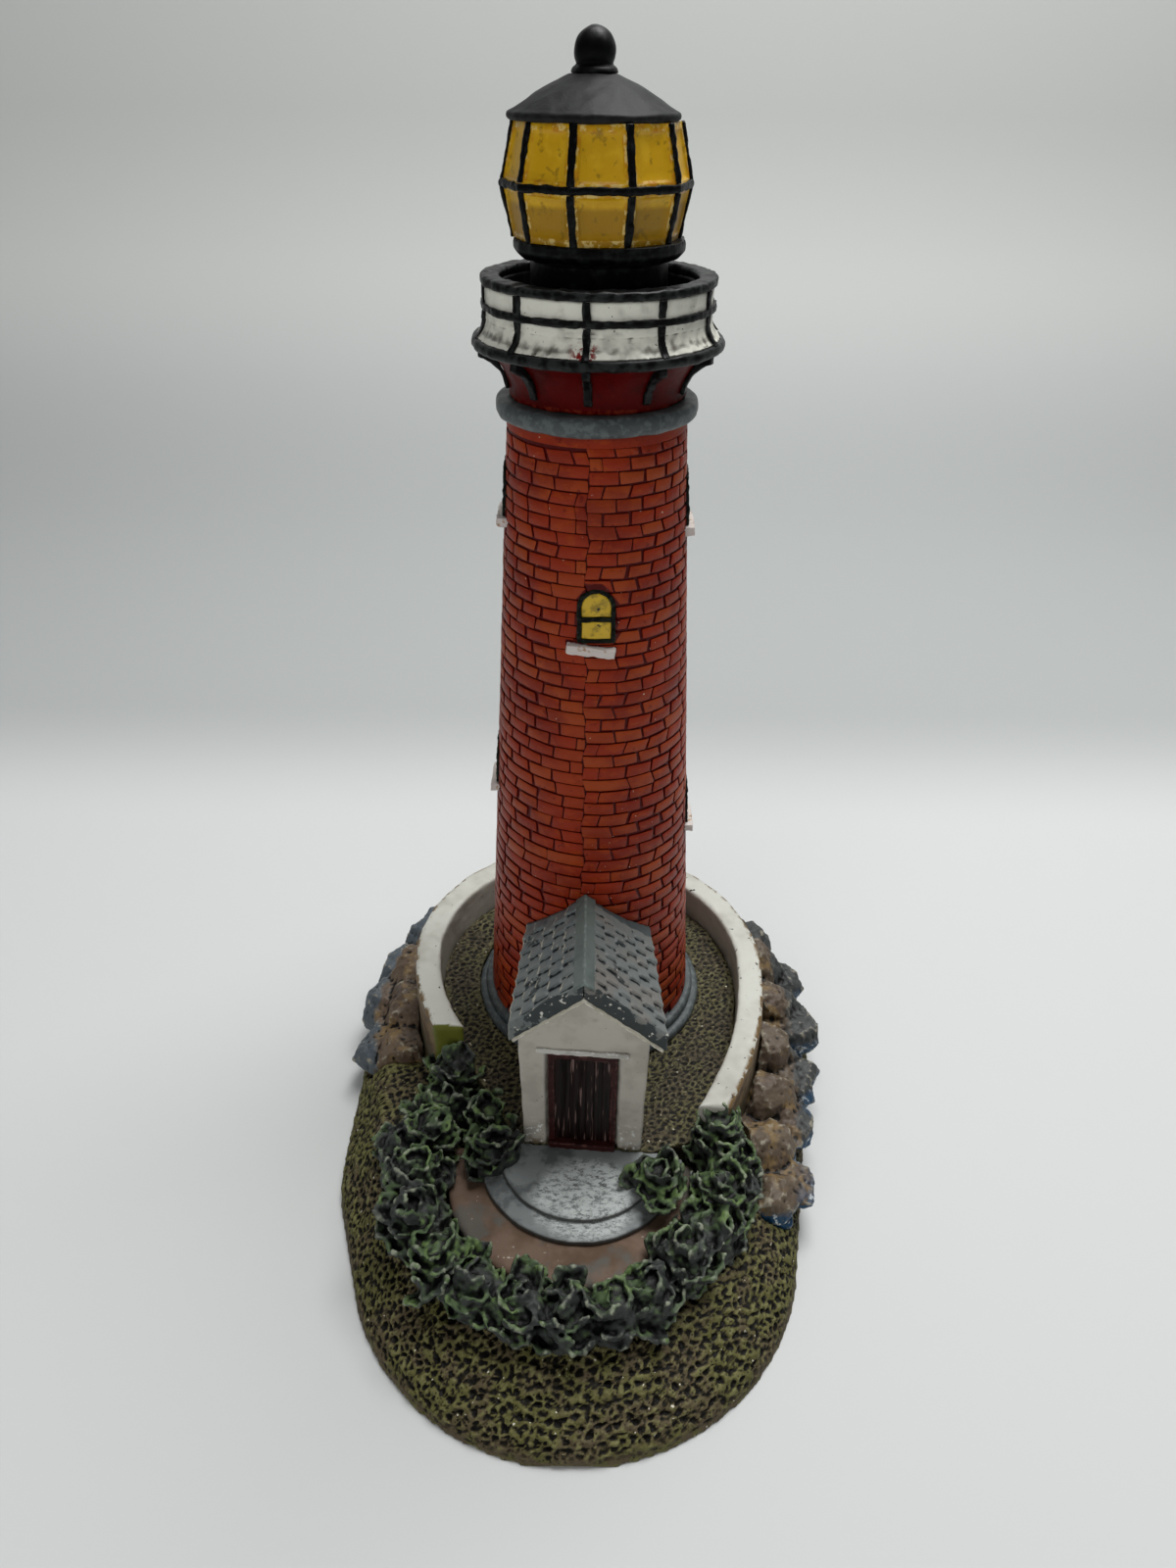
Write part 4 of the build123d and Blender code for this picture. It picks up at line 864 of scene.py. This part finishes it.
def build_gallery():
    for node, voxel, grain, shape in (
        ("gallery_deck", 0.4, 4, None), ("gallery_top_rail", 0.3, 2.2, None),
        ("gallery_mid_rail", 0.22, 2.2, None), ("gallery_posts", 0.2, 2.2, hollow_sweep),
        ("gallery_brackets", 0.22, 2.2, None),
    ):
        cast_piece(node, gallery_black, "gallery_black", voxel, 0, (grain, 0.45), shape)
    piece = cast_piece(
        "gallery_parapet", parapet_paint(), "gallery_white", 0.35, 0, (3, 0.3), hollow_sweep)
    mark(piece, "inside", from_axis(points_of(piece)) < PARAPET_R - PARAPET_WALL)


build_gallery()


# Lantern
GLASS_SIDES_Z = 0.6
GLASS_RIM = 0.95 * MM
GLASS_STEP = 0.55 * MM
GLASS_SINK = 0.35 * MM
GLASS_SHADE_Z = (205.4 * MM, 204.4 * MM)


def glass_paint():
    paint = Paint("lantern_yellow", rgb(202, 156, 18), roughness=0.35, sheen=0.35)
    rim = paint.attribute("rim")
    paint.layer(rgb(216, 172, 34), paint.patches(4 * MM, 0.45, 0.65), 0.8)
    paint.layer(rgb(188, 128, 14), paint.ramp(rim, 0.15, 0.75), paint.patches(2.2 * MM, 0.4, 0.66))
    paint.layer(rgb(152, 112, 8), paint.ramp(paint.along("Z"), *GLASS_SHADE_Z), 0.8)
    paint.layer(rgb(120, 92, 20), paint.patches(1.8 * MM, 0.58, 0.7), 0.6)
    # Painted highlight: pale edges on the rims, where the bevels catch the light.
    edges = paint.ramp(rim, 0.7, 0.95)
    paint.layer(rgb(226, 202, 130), edges, paint.patches(1.2 * MM, 0.5, 0.6), 0.7)
    paint.rough(paint.noise(3 * MM), 0.25, 0.5)
    paint.grain(paint.noise(1.6 * MM), 0.12 * MM)
    return paint.done()


def build_glass(node, finish):
    """The ten panes of one tier, each sunk a little within its rim."""
    piece = copy_of(node)
    with editing(piece):
        bpy.ops.mesh.dissolve_limited(angle_limit=math.radians(2))
    _, normals = face_middles(piece)
    with editing(piece, np.abs(normals[:, 2]) < GLASS_SIDES_Z):
        bpy.ops.mesh.inset(thickness=GLASS_RIM, depth=0, use_individual=True)
        bpy.ops.mesh.inset(thickness=GLASS_STEP, depth=-GLASS_SINK, use_individual=True)
    rim = np.ones(len(piece.data.vertices))
    for polygon in piece.data.polygons:
        if polygon.select:
            rim[list(polygon.vertices)] = 0
    mark(piece, "rim", rim)
    with editing(piece):
        bpy.ops.mesh.subdivide(number_cuts=4)
    hand_wobble(piece, 3 * MM, 0.25 * MM)
    place_piece(piece, finish, "lantern_yellow", node, sharp=40)


def build_lantern():
    yellow = glass_paint()
    for tier in ("lower", "upper"):
        build_glass(f"lantern_glazing_{tier}", yellow)
        cast_piece(f"lantern_bars_{tier}", lantern_black, "lantern_black", 0.2, 0, (2, 0.5))
    cast_piece("lantern_waist_ring", lantern_black, "lantern_black", 0.2, 0, (2, 0.5))
    cast_piece("lantern_pedestal", lantern_black, "lantern_black", 0.5)
    cast_piece("lantern_sill", lantern_black, "lantern_black", 0.4, 1, (3, 0.4))
    roof = black_paint("roof_charcoal", rgb(24, 24, 25), rgb(34, 34, 35), 0.55)
    cast_piece("lantern_roof", roof, "lantern_black", 0.35, 1, (4, 0.4))
    cast_piece("roof_finial", lantern_black, "lantern_black", 0.22, 1, (3, 0.3))


build_lantern()


# Windows of the tower
def build_windows():
    pane = Paint("window_yellow", rgb(206, 170, 40), roughness=0.35, sheen=0.5)
    pane.layer(rgb(150, 124, 28), pane.patches(2 * MM, 0.45, 0.65))
    pane.layer(rgb(20, 16, 8), pane.patches(1.6 * MM, 0.66, 0.7, shift=(1, 0, 0)))
    sill = Paint("window_sill_white", rgb(206, 196, 190), roughness=0.5, sheen=0.4)
    sill.layer(rgb(150, 104, 40), sill.patches(2.2 * MM, 0.58, 0.66), 0.8)
    kinds = (
        ("frame", window_black, "window_black", 0.18, 0, (1.4, 0.5)),
        ("panes", pane.done(), "window_yellow", 0.2, 1, (2, 0.2)),
        ("sill", sill.done(), "window_sill_white", 0.2, 1, (1.8, 0.5)),
    )
    for place in WINDOW_NAMES:
        for kind, *finish in kinds:
            cast_piece(f"window_{place}_{kind}", *finish)


build_windows()


# Cottage
FOOT_DARK_Z = (24 * MM, 20 * MM)  # where the wall starts to darken towards the foot, and where it is darkest
SPATTER_Z = (30 * MM, 24 * MM)


def cottage_paint():
    paint = Paint("cottage_wall", rgb(186, 181, 170), roughness=0.5, sheen=0.35)
    height = paint.along("Z")
    paint.layer(rgb(162, 157, 146), paint.patches(7 * MM, 0.42, 0.66), 0.7)
    # Darker towards the foot of the wall, in patches.
    paint.layer(rgb(112, 100, 82), paint.ramp(height, *FOOT_DARK_Z), paint.patches(3 * MM, 0.35, 0.6))
    spatter = paint.patches(1.2 * MM, 0.60, 0.64, detail=2)
    paint.layer(rgb(226, 226, 220), paint.ramp(height, *SPATTER_Z), spatter)
    paint.layer(rgb(84, 76, 64), paint.patches(0.9 * MM, 0.735, 0.755, detail=2))
    paint.layer(rgb(120, 114, 104), paint.proud(-0.01, -0.05), 0.8)
    paint.grain(paint.noise(2.5 * MM, stretch=(1, 1, 3)), 0.12 * MM)
    return paint.done()


# Slates: strips from eave to ridge, each slate a wedge with its raised edge to the front
SLATE_L = 4.4 * MM
SLATE_GAP = 0.035
SLATE_LAP = 1.04
SLATE_RISE = 0.95 * MM
SLATE_BACK = 0.32  # how far its back edge is below its middle
SLATE_STRIPS = {"left": 5, "right": 6}
STRIP_SHIFT = 0.37
RIDGE_COVER = 0.11
VERGE_SHARE = 0.012  # of the slope's length, kept free at the front
SLIVER_SHARE = 0.02  # shorter slates are left out
LEAD_W = 0.9 * MM
LEAD_FLARE = 2.6 * MM
LEAD_FLARE_X = 12 * MM
VERGE_W = 2.6 * MM
VERGE_FADE = 2 * MM


def unit_slate():
    """One slate: a wedge, thin at the back, with soft edges."""
    bpy.ops.mesh.primitive_cube_add(size=1)
    slate = newest("slate")
    points = points_of(slate)
    thin = (points[:, 1] > 0) & (points[:, 2] > 0)
    points[thin, 2] = -SLATE_BACK
    move_points(slate, points)
    apply(slate, "BEVEL", width=0.06, segments=1, limit_method="ANGLE")
    return slate


def slope_corners(node, side):
    """A roof slope's eave and ridge, each from front to back, and its normal."""
    slab = copy_of(node, "slab")
    with editing(slab):
        bpy.ops.mesh.dissolve_limited(angle_limit=math.radians(1))
    upper = [face for face in slab.data.polygons if face.normal.z > 0.3]
    top = max(upper, key=lambda face: face.area)
    rim = np.array([slab.data.vertices[k].co for k in top.vertices])
    normal = np.array(top.normal)
    drop(slab)
    rim = rim[np.argsort(rim[:, 1])]
    outward = rim[:, 0] * side
    eave = rim[rim[:, 2] < rim[:, 2].min() + 0.2 * MM]
    ridge = rim[outward < outward.min() + 0.15 * MM]
    return eave[[0, -1]], ridge[[0, -1]], normal


def shaft_reach(points):
    """How far places stand off the shaft."""
    radius = SHAFT_FOOT_R - SHAFT_SLOPE * (points[:, 2] - SHAFT_FOOT_Z)
    return from_axis(points) - radius


def flashing_width(points):
    """The lead band at the tower: narrow on the left, a wedge on the right."""
    return LEAD_W + np.clip(points[:, 0] / LEAD_FLARE_X, 0, 1) * LEAD_FLARE


def lay_slates(side_name, side, slate):
    """Every slate of one slope, up to the lead band, each as a piece of its own."""
    eave, ridge, normal = slope_corners(f"cottage_roof_{side_name}", side)
    length = np.linalg.norm(eave[1] - eave[0])
    strips = SLATE_STRIPS[side_name]
    unit = points_of(slate)
    dice = random.Random(5 + side)
    laid = []
    for strip in range(strips):
        across = (strip + 0.5 + unit[:, 0] * (1 - SLATE_GAP)) / strips * (1 - RIDGE_COVER)
        for row in range(-1, int(length / SLATE_L) + 2):
            middle = row + 0.5 + STRIP_SHIFT * strip % 1
            along = (middle + unit[:, 1] * SLATE_LAP) * SLATE_L / length
            along = np.maximum(along, VERGE_SHARE)
            low = eave[0] + along[:, None] * (eave[1] - eave[0])
            high = ridge[0] + along[:, None] * (ridge[1] - ridge[0])
            places = low + across[:, None] * (high - low)
            centre = places.mean(axis=0)[None]
            under_lead = shaft_reach(centre)[0] < flashing_width(centre)[0]
            if np.ptp(along) < SLIVER_SHARE or under_lead:
                continue
            rise = SLATE_RISE * dice.uniform(0.7, 1.15)
            places += (unit[:, 2] + SLATE_BACK)[:, None] * normal * rise
            piece = twin(slate, Matrix.Identity(4))
            move_points(piece, places)
            laid.append(piece)
    return laid


def slate_paint(name, base, tint):
    paint = Paint(name, base, roughness=0.5, sheen=0.4)
    paint.layer(tint, paint.patches(6 * MM, 0.42, 0.66), 0.8)
    worn = paint.proud(0.08, 0.2)
    paint.layer(rgb(116, 121, 117), worn, paint.patches(2 * MM, 0.45, 0.6), 0.5)
    # Painted shadow: the slots under the slates' raised front edges.
    paint.layer(rgb(20, 24, 26), paint.proud(-0.035, -0.10))
    paint.layer(rgb(58, 68, 70), paint.attribute("lead"), 0.9)
    ragged = paint.maths("ADD", paint.attribute("verge"), paint.times(paint.noise(5 * MM), 4.0))
    verge = paint.ramp(ragged, 2.5, 2.7)
    paint.layer(rgb(40, 47, 48), verge, 0.9)
    paint.layer(rgb(206, 205, 196), verge, paint.patches(1.3 * MM, 0.63, 0.66, detail=3))
    paint.layer(rgb(186, 180, 162), paint.attribute("eave"), paint.patches(3 * MM, 0.35, 0.5))
    paint.grain(paint.noise(1 * MM), 0.07 * MM)
    return paint.done()


def build_roof():
    slate = unit_slate()
    for side_name, side, tint in (("left", -1, rgb(92, 98, 100)), ("right", 1, rgb(116, 111, 105))):
        node = f"cottage_roof_{side_name}"
        piece = join([copy_of(node), *lay_slates(side_name, side, slate)])
        recast(piece, 0.3 * MM, 1)
        hand_wobble(piece, 2.5 * MM, 0.35 * MM)
        points = points_of(piece)
        to_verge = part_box(node)[0].y + VERGE_W - points[:, 1]
        mark(piece, "lead", shaft_reach(points) < flashing_width(points))
        mark(piece, "verge", np.clip(to_verge / VERGE_FADE, 0, 1))
        mark(piece, "eave", (normals_of(piece)[:, 0] * side > 0.75) * (side < 0))
        mark_proud(piece, 5)
        place_piece(piece, slate_paint(node, rgb(106, 112, 110), tint), "slate", node)
    drop(slate)


def build_door():
    maroon = stone_paint("door_maroon", rgb(50, 18, 16), dark=rgb(24, 5, 5), light=rgb(92, 58, 52))
    cast_piece("door_frame", maroon, "door_maroon", 0.22, 0, (2, 0.35))
    cast_piece("door_sill", maroon, "door_maroon", 0.25, 1, (2, 0.3))
    planks = Paint("door_leaf", rgb(26, 10, 9), roughness=0.45, sheen=0.4)
    scratch = planks.noise(0.8 * MM, stretch=(1, 1, 0.06), detail=2)
    planks.layer(rgb(120, 98, 92), planks.ramp(scratch, 0.6, 0.66))
    planks.layer(rgb(8, 2, 2), planks.ramp(scratch, 0.45, 0.38))
    planks.grain(scratch, 0.25 * MM)
    leaf = copy_of("door_leaf")
    place_piece(leaf, planks.done(), "door_maroon", "door_leaf", sharp=30)
    white = stone_paint(
        "lintel", rgb(200, 198, 190), dark=rgb(150, 146, 136), light=rgb(220, 218, 212))
    cast_piece("door_lintel", white, "cottage_wall", 0.22, 1, (2, 0.3))


def build_cottage():
    cast_piece("cottage_walls", cottage_paint(), "cottage_wall", 0.4, 1, (5, 0.4))
    cream = stone_paint(
        "bargeboard", rgb(190, 184, 168), dark=rgb(136, 128, 110), light=rgb(216, 212, 200))
    for side in ("left", "right"):
        cast_piece(f"cottage_bargeboard_{side}", cream, "bargeboard", 0.25, 1, (3, 0.5))
    build_roof()
    teal = stone_paint("ridge", rgb(92, 102, 98), dark=rgb(74, 84, 82), light=rgb(112, 122, 118))
    cast_piece("cottage_ridge_cap", teal, "ridge", 0.25, 1, (3, 0.3))
    build_door()


build_cottage()


# Hedge and shrubs
LEAF_W = 6.6 * MM
LEAF_L = 6.8 * MM
LEAF_T = 0.95 * MM
LEAF_CURL = 1.9 * MM
LEAF_CUP = 1.3 * MM
LEAF_CRINKLE = 0.5 * MM
LEAF_ROOT = 2.4 * MM
LEAF_SPACING = 2.9 * MM


def leaf_paint():
    paint = Paint("foliage", rgb(52, 55, 53), roughness=0.6, sheen=0.35)
    # Green in patches, on the upward faces only: partly the hedge's own green, partly a painted
    # highlight on the tops.
    up = paint.ramp(paint.facing("Z"), 0.1, 0.75)
    green_on_lit_tops = paint.times(paint.patches(9 * MM, 0.40, 0.56), up)
    paint.layer(rgb(74, 92, 60), green_on_lit_tops)
    paint.layer(rgb(100, 122, 72), green_on_lit_tops, paint.patches(4 * MM, 0.48, 0.62))
    paint.layer(rgb(3, 4, 3), paint.proud(0.05, -0.28))
    tips = paint.proud(0.25, 0.7)
    paint.layer(rgb(148, 154, 134), tips, paint.patches(2.5 * MM, 0.42, 0.58), 0.8)
    paint.grain(paint.noise(0.9 * MM), 0.16 * MM)
    return paint.done()


def unit_leaf():
    """One cupped leaf with a curled rim, growing along Y."""
    bpy.ops.mesh.primitive_grid_add(x_subdivisions=6, y_subdivisions=6, size=1)
    leaf = newest("leaf")
    leaf.scale = (LEAF_W, LEAF_L, 1)
    leaf.location = (0, LEAF_L / 2 - 0.4 * MM, 0)
    settle(leaf)
    points = points_of(leaf)
    along = np.clip(points[:, 1] / LEAF_L, 0, 1)
    points[:, 0] *= 0.35 + 0.75 * np.sin(along * 2.4)
    side = points[:, 0] / (LEAF_W / 2)
    crinkle = LEAF_CRINKLE * np.sin(side * 6) * along
    points[:, 2] = LEAF_CURL * along**2 + LEAF_CUP * side**2 + crinkle
    move_points(leaf, points)
    apply(leaf, "SOLIDIFY", thickness=LEAF_T, offset=0)
    return leaf


def leaf_spots(middles, normals, dice):
    """Faces to grow leaves from, at least the spacing apart and not on the underside."""
    order = [k for k in range(len(middles)) if normals[k, 2] > -0.25]
    dice.shuffle(order)
    chosen = []
    for k in order:
        aways = (middles[k] - middles[j] for j in chosen)
        if all(away @ away > LEAF_SPACING**2 for away in aways):
            chosen.append(k)
    return chosen


def leafy(node, finish, leaf, dice):
    """A hedge: the solid's lumps, grown over with cupped leaves and cast in one."""
    piece = copy_of(node)
    recast(piece, 0.9 * MM)
    middles, normals = face_middles(piece)
    leaves = []
    for k in leaf_spots(middles, normals, dice):
        stray = Vector([dice.uniform(-1, 1) for _ in range(3)])
        grow = Vector(normals[k]) * 0.7 + Vector((0, 0, 0.3)) + stray * 0.6
        grow.z = max(grow.z, 0.15)
        grow.normalize()
        across = grow.cross(Vector((0, 0, 1)) + stray * 0.6).normalized()
        back = across.cross(grow)
        size = dice.uniform(0.5, 0.95)
        turn = Matrix((across * size, grow * size, back * size)).transposed().to_4x4()
        root = Vector(middles[k]) - grow * LEAF_ROOT
        leaves.append(twin(leaf, Matrix.Translation(root) @ turn))
    join([piece, *leaves])
    recast(piece, 0.4 * MM, 1)
    hand_wobble(piece, 1.5 * MM, 0.9 * MM)
    mark_proud(piece, 14)
    place_piece(piece, finish, "foliage", node)


def build_hedge():
    finish = leaf_paint()
    leaf = unit_leaf()
    dice = random.Random(11)
    for node in ("hedge_left", "hedge_front", "hedge_right", "shrub_left", "shrub_right"):
        leafy(node, finish, leaf, dice)
    drop(leaf)


build_hedge()


# Rocks and sea
SHORE_R = 46 * MM
SHORE_W = 14 * MM
TIDE_RISE = 4.5 * MM
TIDE_FADE = 2 * MM


def rock_paint(name, tan, slate, slate_from, wet):
    paint = Paint(name, tan, roughness=0.55, sheen=0.4)
    paint.layer(rgb(84, 70, 58), paint.patches(6 * MM, 0.42, 0.6))
    paint.layer(rgb(124, 102, 66), paint.patches(6 * MM, 0.52, 0.62, shift=(9, 2, 4)), 0.8)
    outer = paint.maths("ADD", paint.attribute("seaward"), paint.times(paint.noise(7 * MM), 0.7))
    paint.layer(slate, paint.ramp(outer, slate_from, slate_from + 0.12))
    if wet:
        tide = paint.times(paint.attribute("tide"), paint.patches(3 * MM, 0.36, 0.44))
        paint.layer(rgb(24, 66, 96), tide)
        paint.layer(rgb(196, 206, 210), tide, paint.patches(1.6 * MM, 0.57, 0.62, detail=4))
    paint.layer(rgb(14, 10, 7), paint.proud(-0.04, -0.2))
    worn = paint.proud(0.09, 0.26)
    paint.layer(rgb(160, 154, 136), worn, paint.patches(2 * MM, 0.45, 0.6), 0.7)
    paint.grain(paint.noise(1.4 * MM, stretch=(1, 1, 0.4)), 0.3 * MM)
    return paint.done()


def build_rocks(node, finish, slot):
    """Boulders: the solid's lumps, broken into facets, then split and pitted."""
    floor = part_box(node)[0].z
    piece = copy_of(node)
    recast(piece, 0.6 * MM)
    push(piece, relief("CLOUDS", 6 * MM, noise_depth=2), 3.6 * MM)
    apply(piece, "DECIMATE", ratio=0.013)
    recast(piece, 0.42 * MM)
    push(piece, relief("VORONOI", 1.6 * MM), 0.55 * MM, stretch=(0.9, 0.9, 3))
    push(piece, relief("CLOUDS", 1.6 * MM, noise_depth=2), 0.5 * MM)
    points = points_of(piece)
    points[:, 2] = np.maximum(points[:, 2], floor)
    move_points(piece, points)
    reach = np.hypot(points[:, 0], np.maximum(points[:, 1], 0))
    mark(piece, "seaward", (reach - SHORE_R) / SHORE_W)
    mark(piece, "tide", np.clip((floor + TIDE_RISE - points[:, 2]) / TIDE_FADE, 0, 1))
    mark_proud(piece, 8)
    place_piece(piece, finish, slot, node)


def build_shore():
    tan = rock_paint("shore_rocks_left", rgb(100, 84, 68), rgb(74, 82, 88), 0.95, wet=False)
    build_rocks("shore_rocks_left", tan, "rock_tan")
    grey = rock_paint("shore_rocks_right", rgb(92, 79, 64), rgb(60, 62, 62), 0.66, wet=True)
    build_rocks("shore_rocks_right", grey, "rock_slate")
    sea = Paint("sea", rgb(28, 72, 104), roughness=0.3, sheen=0.5)
    sea.layer(rgb(14, 40, 66), sea.patches(5 * MM, 0.4, 0.6))
    sea.layer(rgb(200, 208, 212), sea.patches(2.5 * MM, 0.58, 0.66, detail=4))
    cast_piece("sea_water", sea.done(), "sea", 0.6, 1, (4, 0.8))


build_shore()


# Table, backdrop, light and camera
TABLE_W = 3
TABLE_FRONT = 1.2
TABLE_END = 0.42
SWEEP_R = 0.2
WALL_RISE = 1.2


def build_set():
    """A pale sheet that lies on the table and sweeps up behind the model, with painted shade at the
    back of the table and the foot of the sweep.
    """
    paint = Paint("table", rgb(209, 211, 210), roughness=0.7, sheen=0.2)
    # Painted shade: darker from the back of the table up the foot of the sweep; the wall above is
    # pale again.
    paint.layer(rgb(176, 179, 178), paint.ramp(paint.along("Y"), 0.10, 0.19))
    paint.layer(rgb(208, 210, 207), paint.ramp(paint.along("Z"), 0.0, 0.12))
    bpy.ops.mesh.primitive_plane_add(size=1)
    sheet = newest("table")
    sheet.scale = (TABLE_W, TABLE_END + TABLE_FRONT, 1)
    sheet.location = (0, (TABLE_END - TABLE_FRONT) / 2, 0)
    settle(sheet)
    only(sheet)
    bpy.context.tool_settings.mesh_select_mode = (False, True, False)
    for vertex in sheet.data.vertices:
        vertex.select = vertex.co.y > TABLE_END - MM
    for edge in sheet.data.edges:
        edge.select = all(sheet.data.vertices[k].select for k in edge.vertices)
    sheet.data.polygons[0].select = False
    bpy.ops.object.mode_set(mode="EDIT")
    back = (0, TABLE_END, SWEEP_R)
    bpy.ops.mesh.spin(steps=16, angle=-math.pi / 2, center=back, axis=(1, 0, 0))
    bpy.ops.mesh.extrude_region_move(TRANSFORM_OT_translate={"value": (0, 0, WALL_RISE)})
    bpy.ops.object.mode_set(mode="OBJECT")
    bpy.ops.object.shade_smooth()
    sheet.data.materials.append(paint.done())


def area_light(name, place, aim, size, power):
    light = bpy.data.lights.new(name, "AREA")
    light.shape = "RECTANGLE"
    light.size, light.size_y = size
    light.energy = power
    lamp = new_object(name, light)
    lamp.location = place
    lamp.rotation_euler = (Vector(aim) - Vector(place)).to_track_quat("-Z", "Y").to_euler()
    return lamp


def build_light():
    """A soft light over the model and a little behind it, in a dim room."""
    area_light(
        "overhead", place=(0.20, 0.20, 0.93), aim=(0, 0.02, 0.05), size=(0.55, 0.5), power=8.9)
    fill = area_light(
        "fill", place=(-0.35, -1.0, 0.5), aim=(0, 0, 0.1), size=(1.0, 1.0), power=4.4)
    fill.visible_glossy = False
    world = bpy.data.worlds.new("room")
    bpy.context.scene.world = world
    world.use_nodes = True
    room = world.node_tree.nodes["Background"]
    room.inputs["Color"].default_value = (0.93, 0.95, 1, 1)
    room.inputs["Strength"].default_value = 0.10


FOCAL_PIXELS = 1110
PICTURE_TALL = 1600
SENSOR = 36
CAMERA_PLACE = (-0.9 * MM, -211 * MM, 224 * MM)
CAMERA_DOWN = math.radians(33.4)
CAMERA_ROLL = math.radians(0.67)


def build_camera():
    camera = bpy.data.cameras.new("camera")
    camera.sensor_width = SENSOR
    camera.lens = SENSOR * FOCAL_PIXELS / PICTURE_TALL
    camera.clip_start = 0.01
    holder = new_object("camera", camera)
    pitch = Matrix.Rotation(math.pi / 2 - CAMERA_DOWN, 4, "X")
    roll = Matrix.Rotation(CAMERA_ROLL, 4, "Z")
    holder.matrix_world = Matrix.Translation(CAMERA_PLACE) @ pitch @ roll
    bpy.context.scene.camera = holder


build_set()
build_light()
build_camera()
bpy.context.scene.view_settings.view_transform = "Standard"
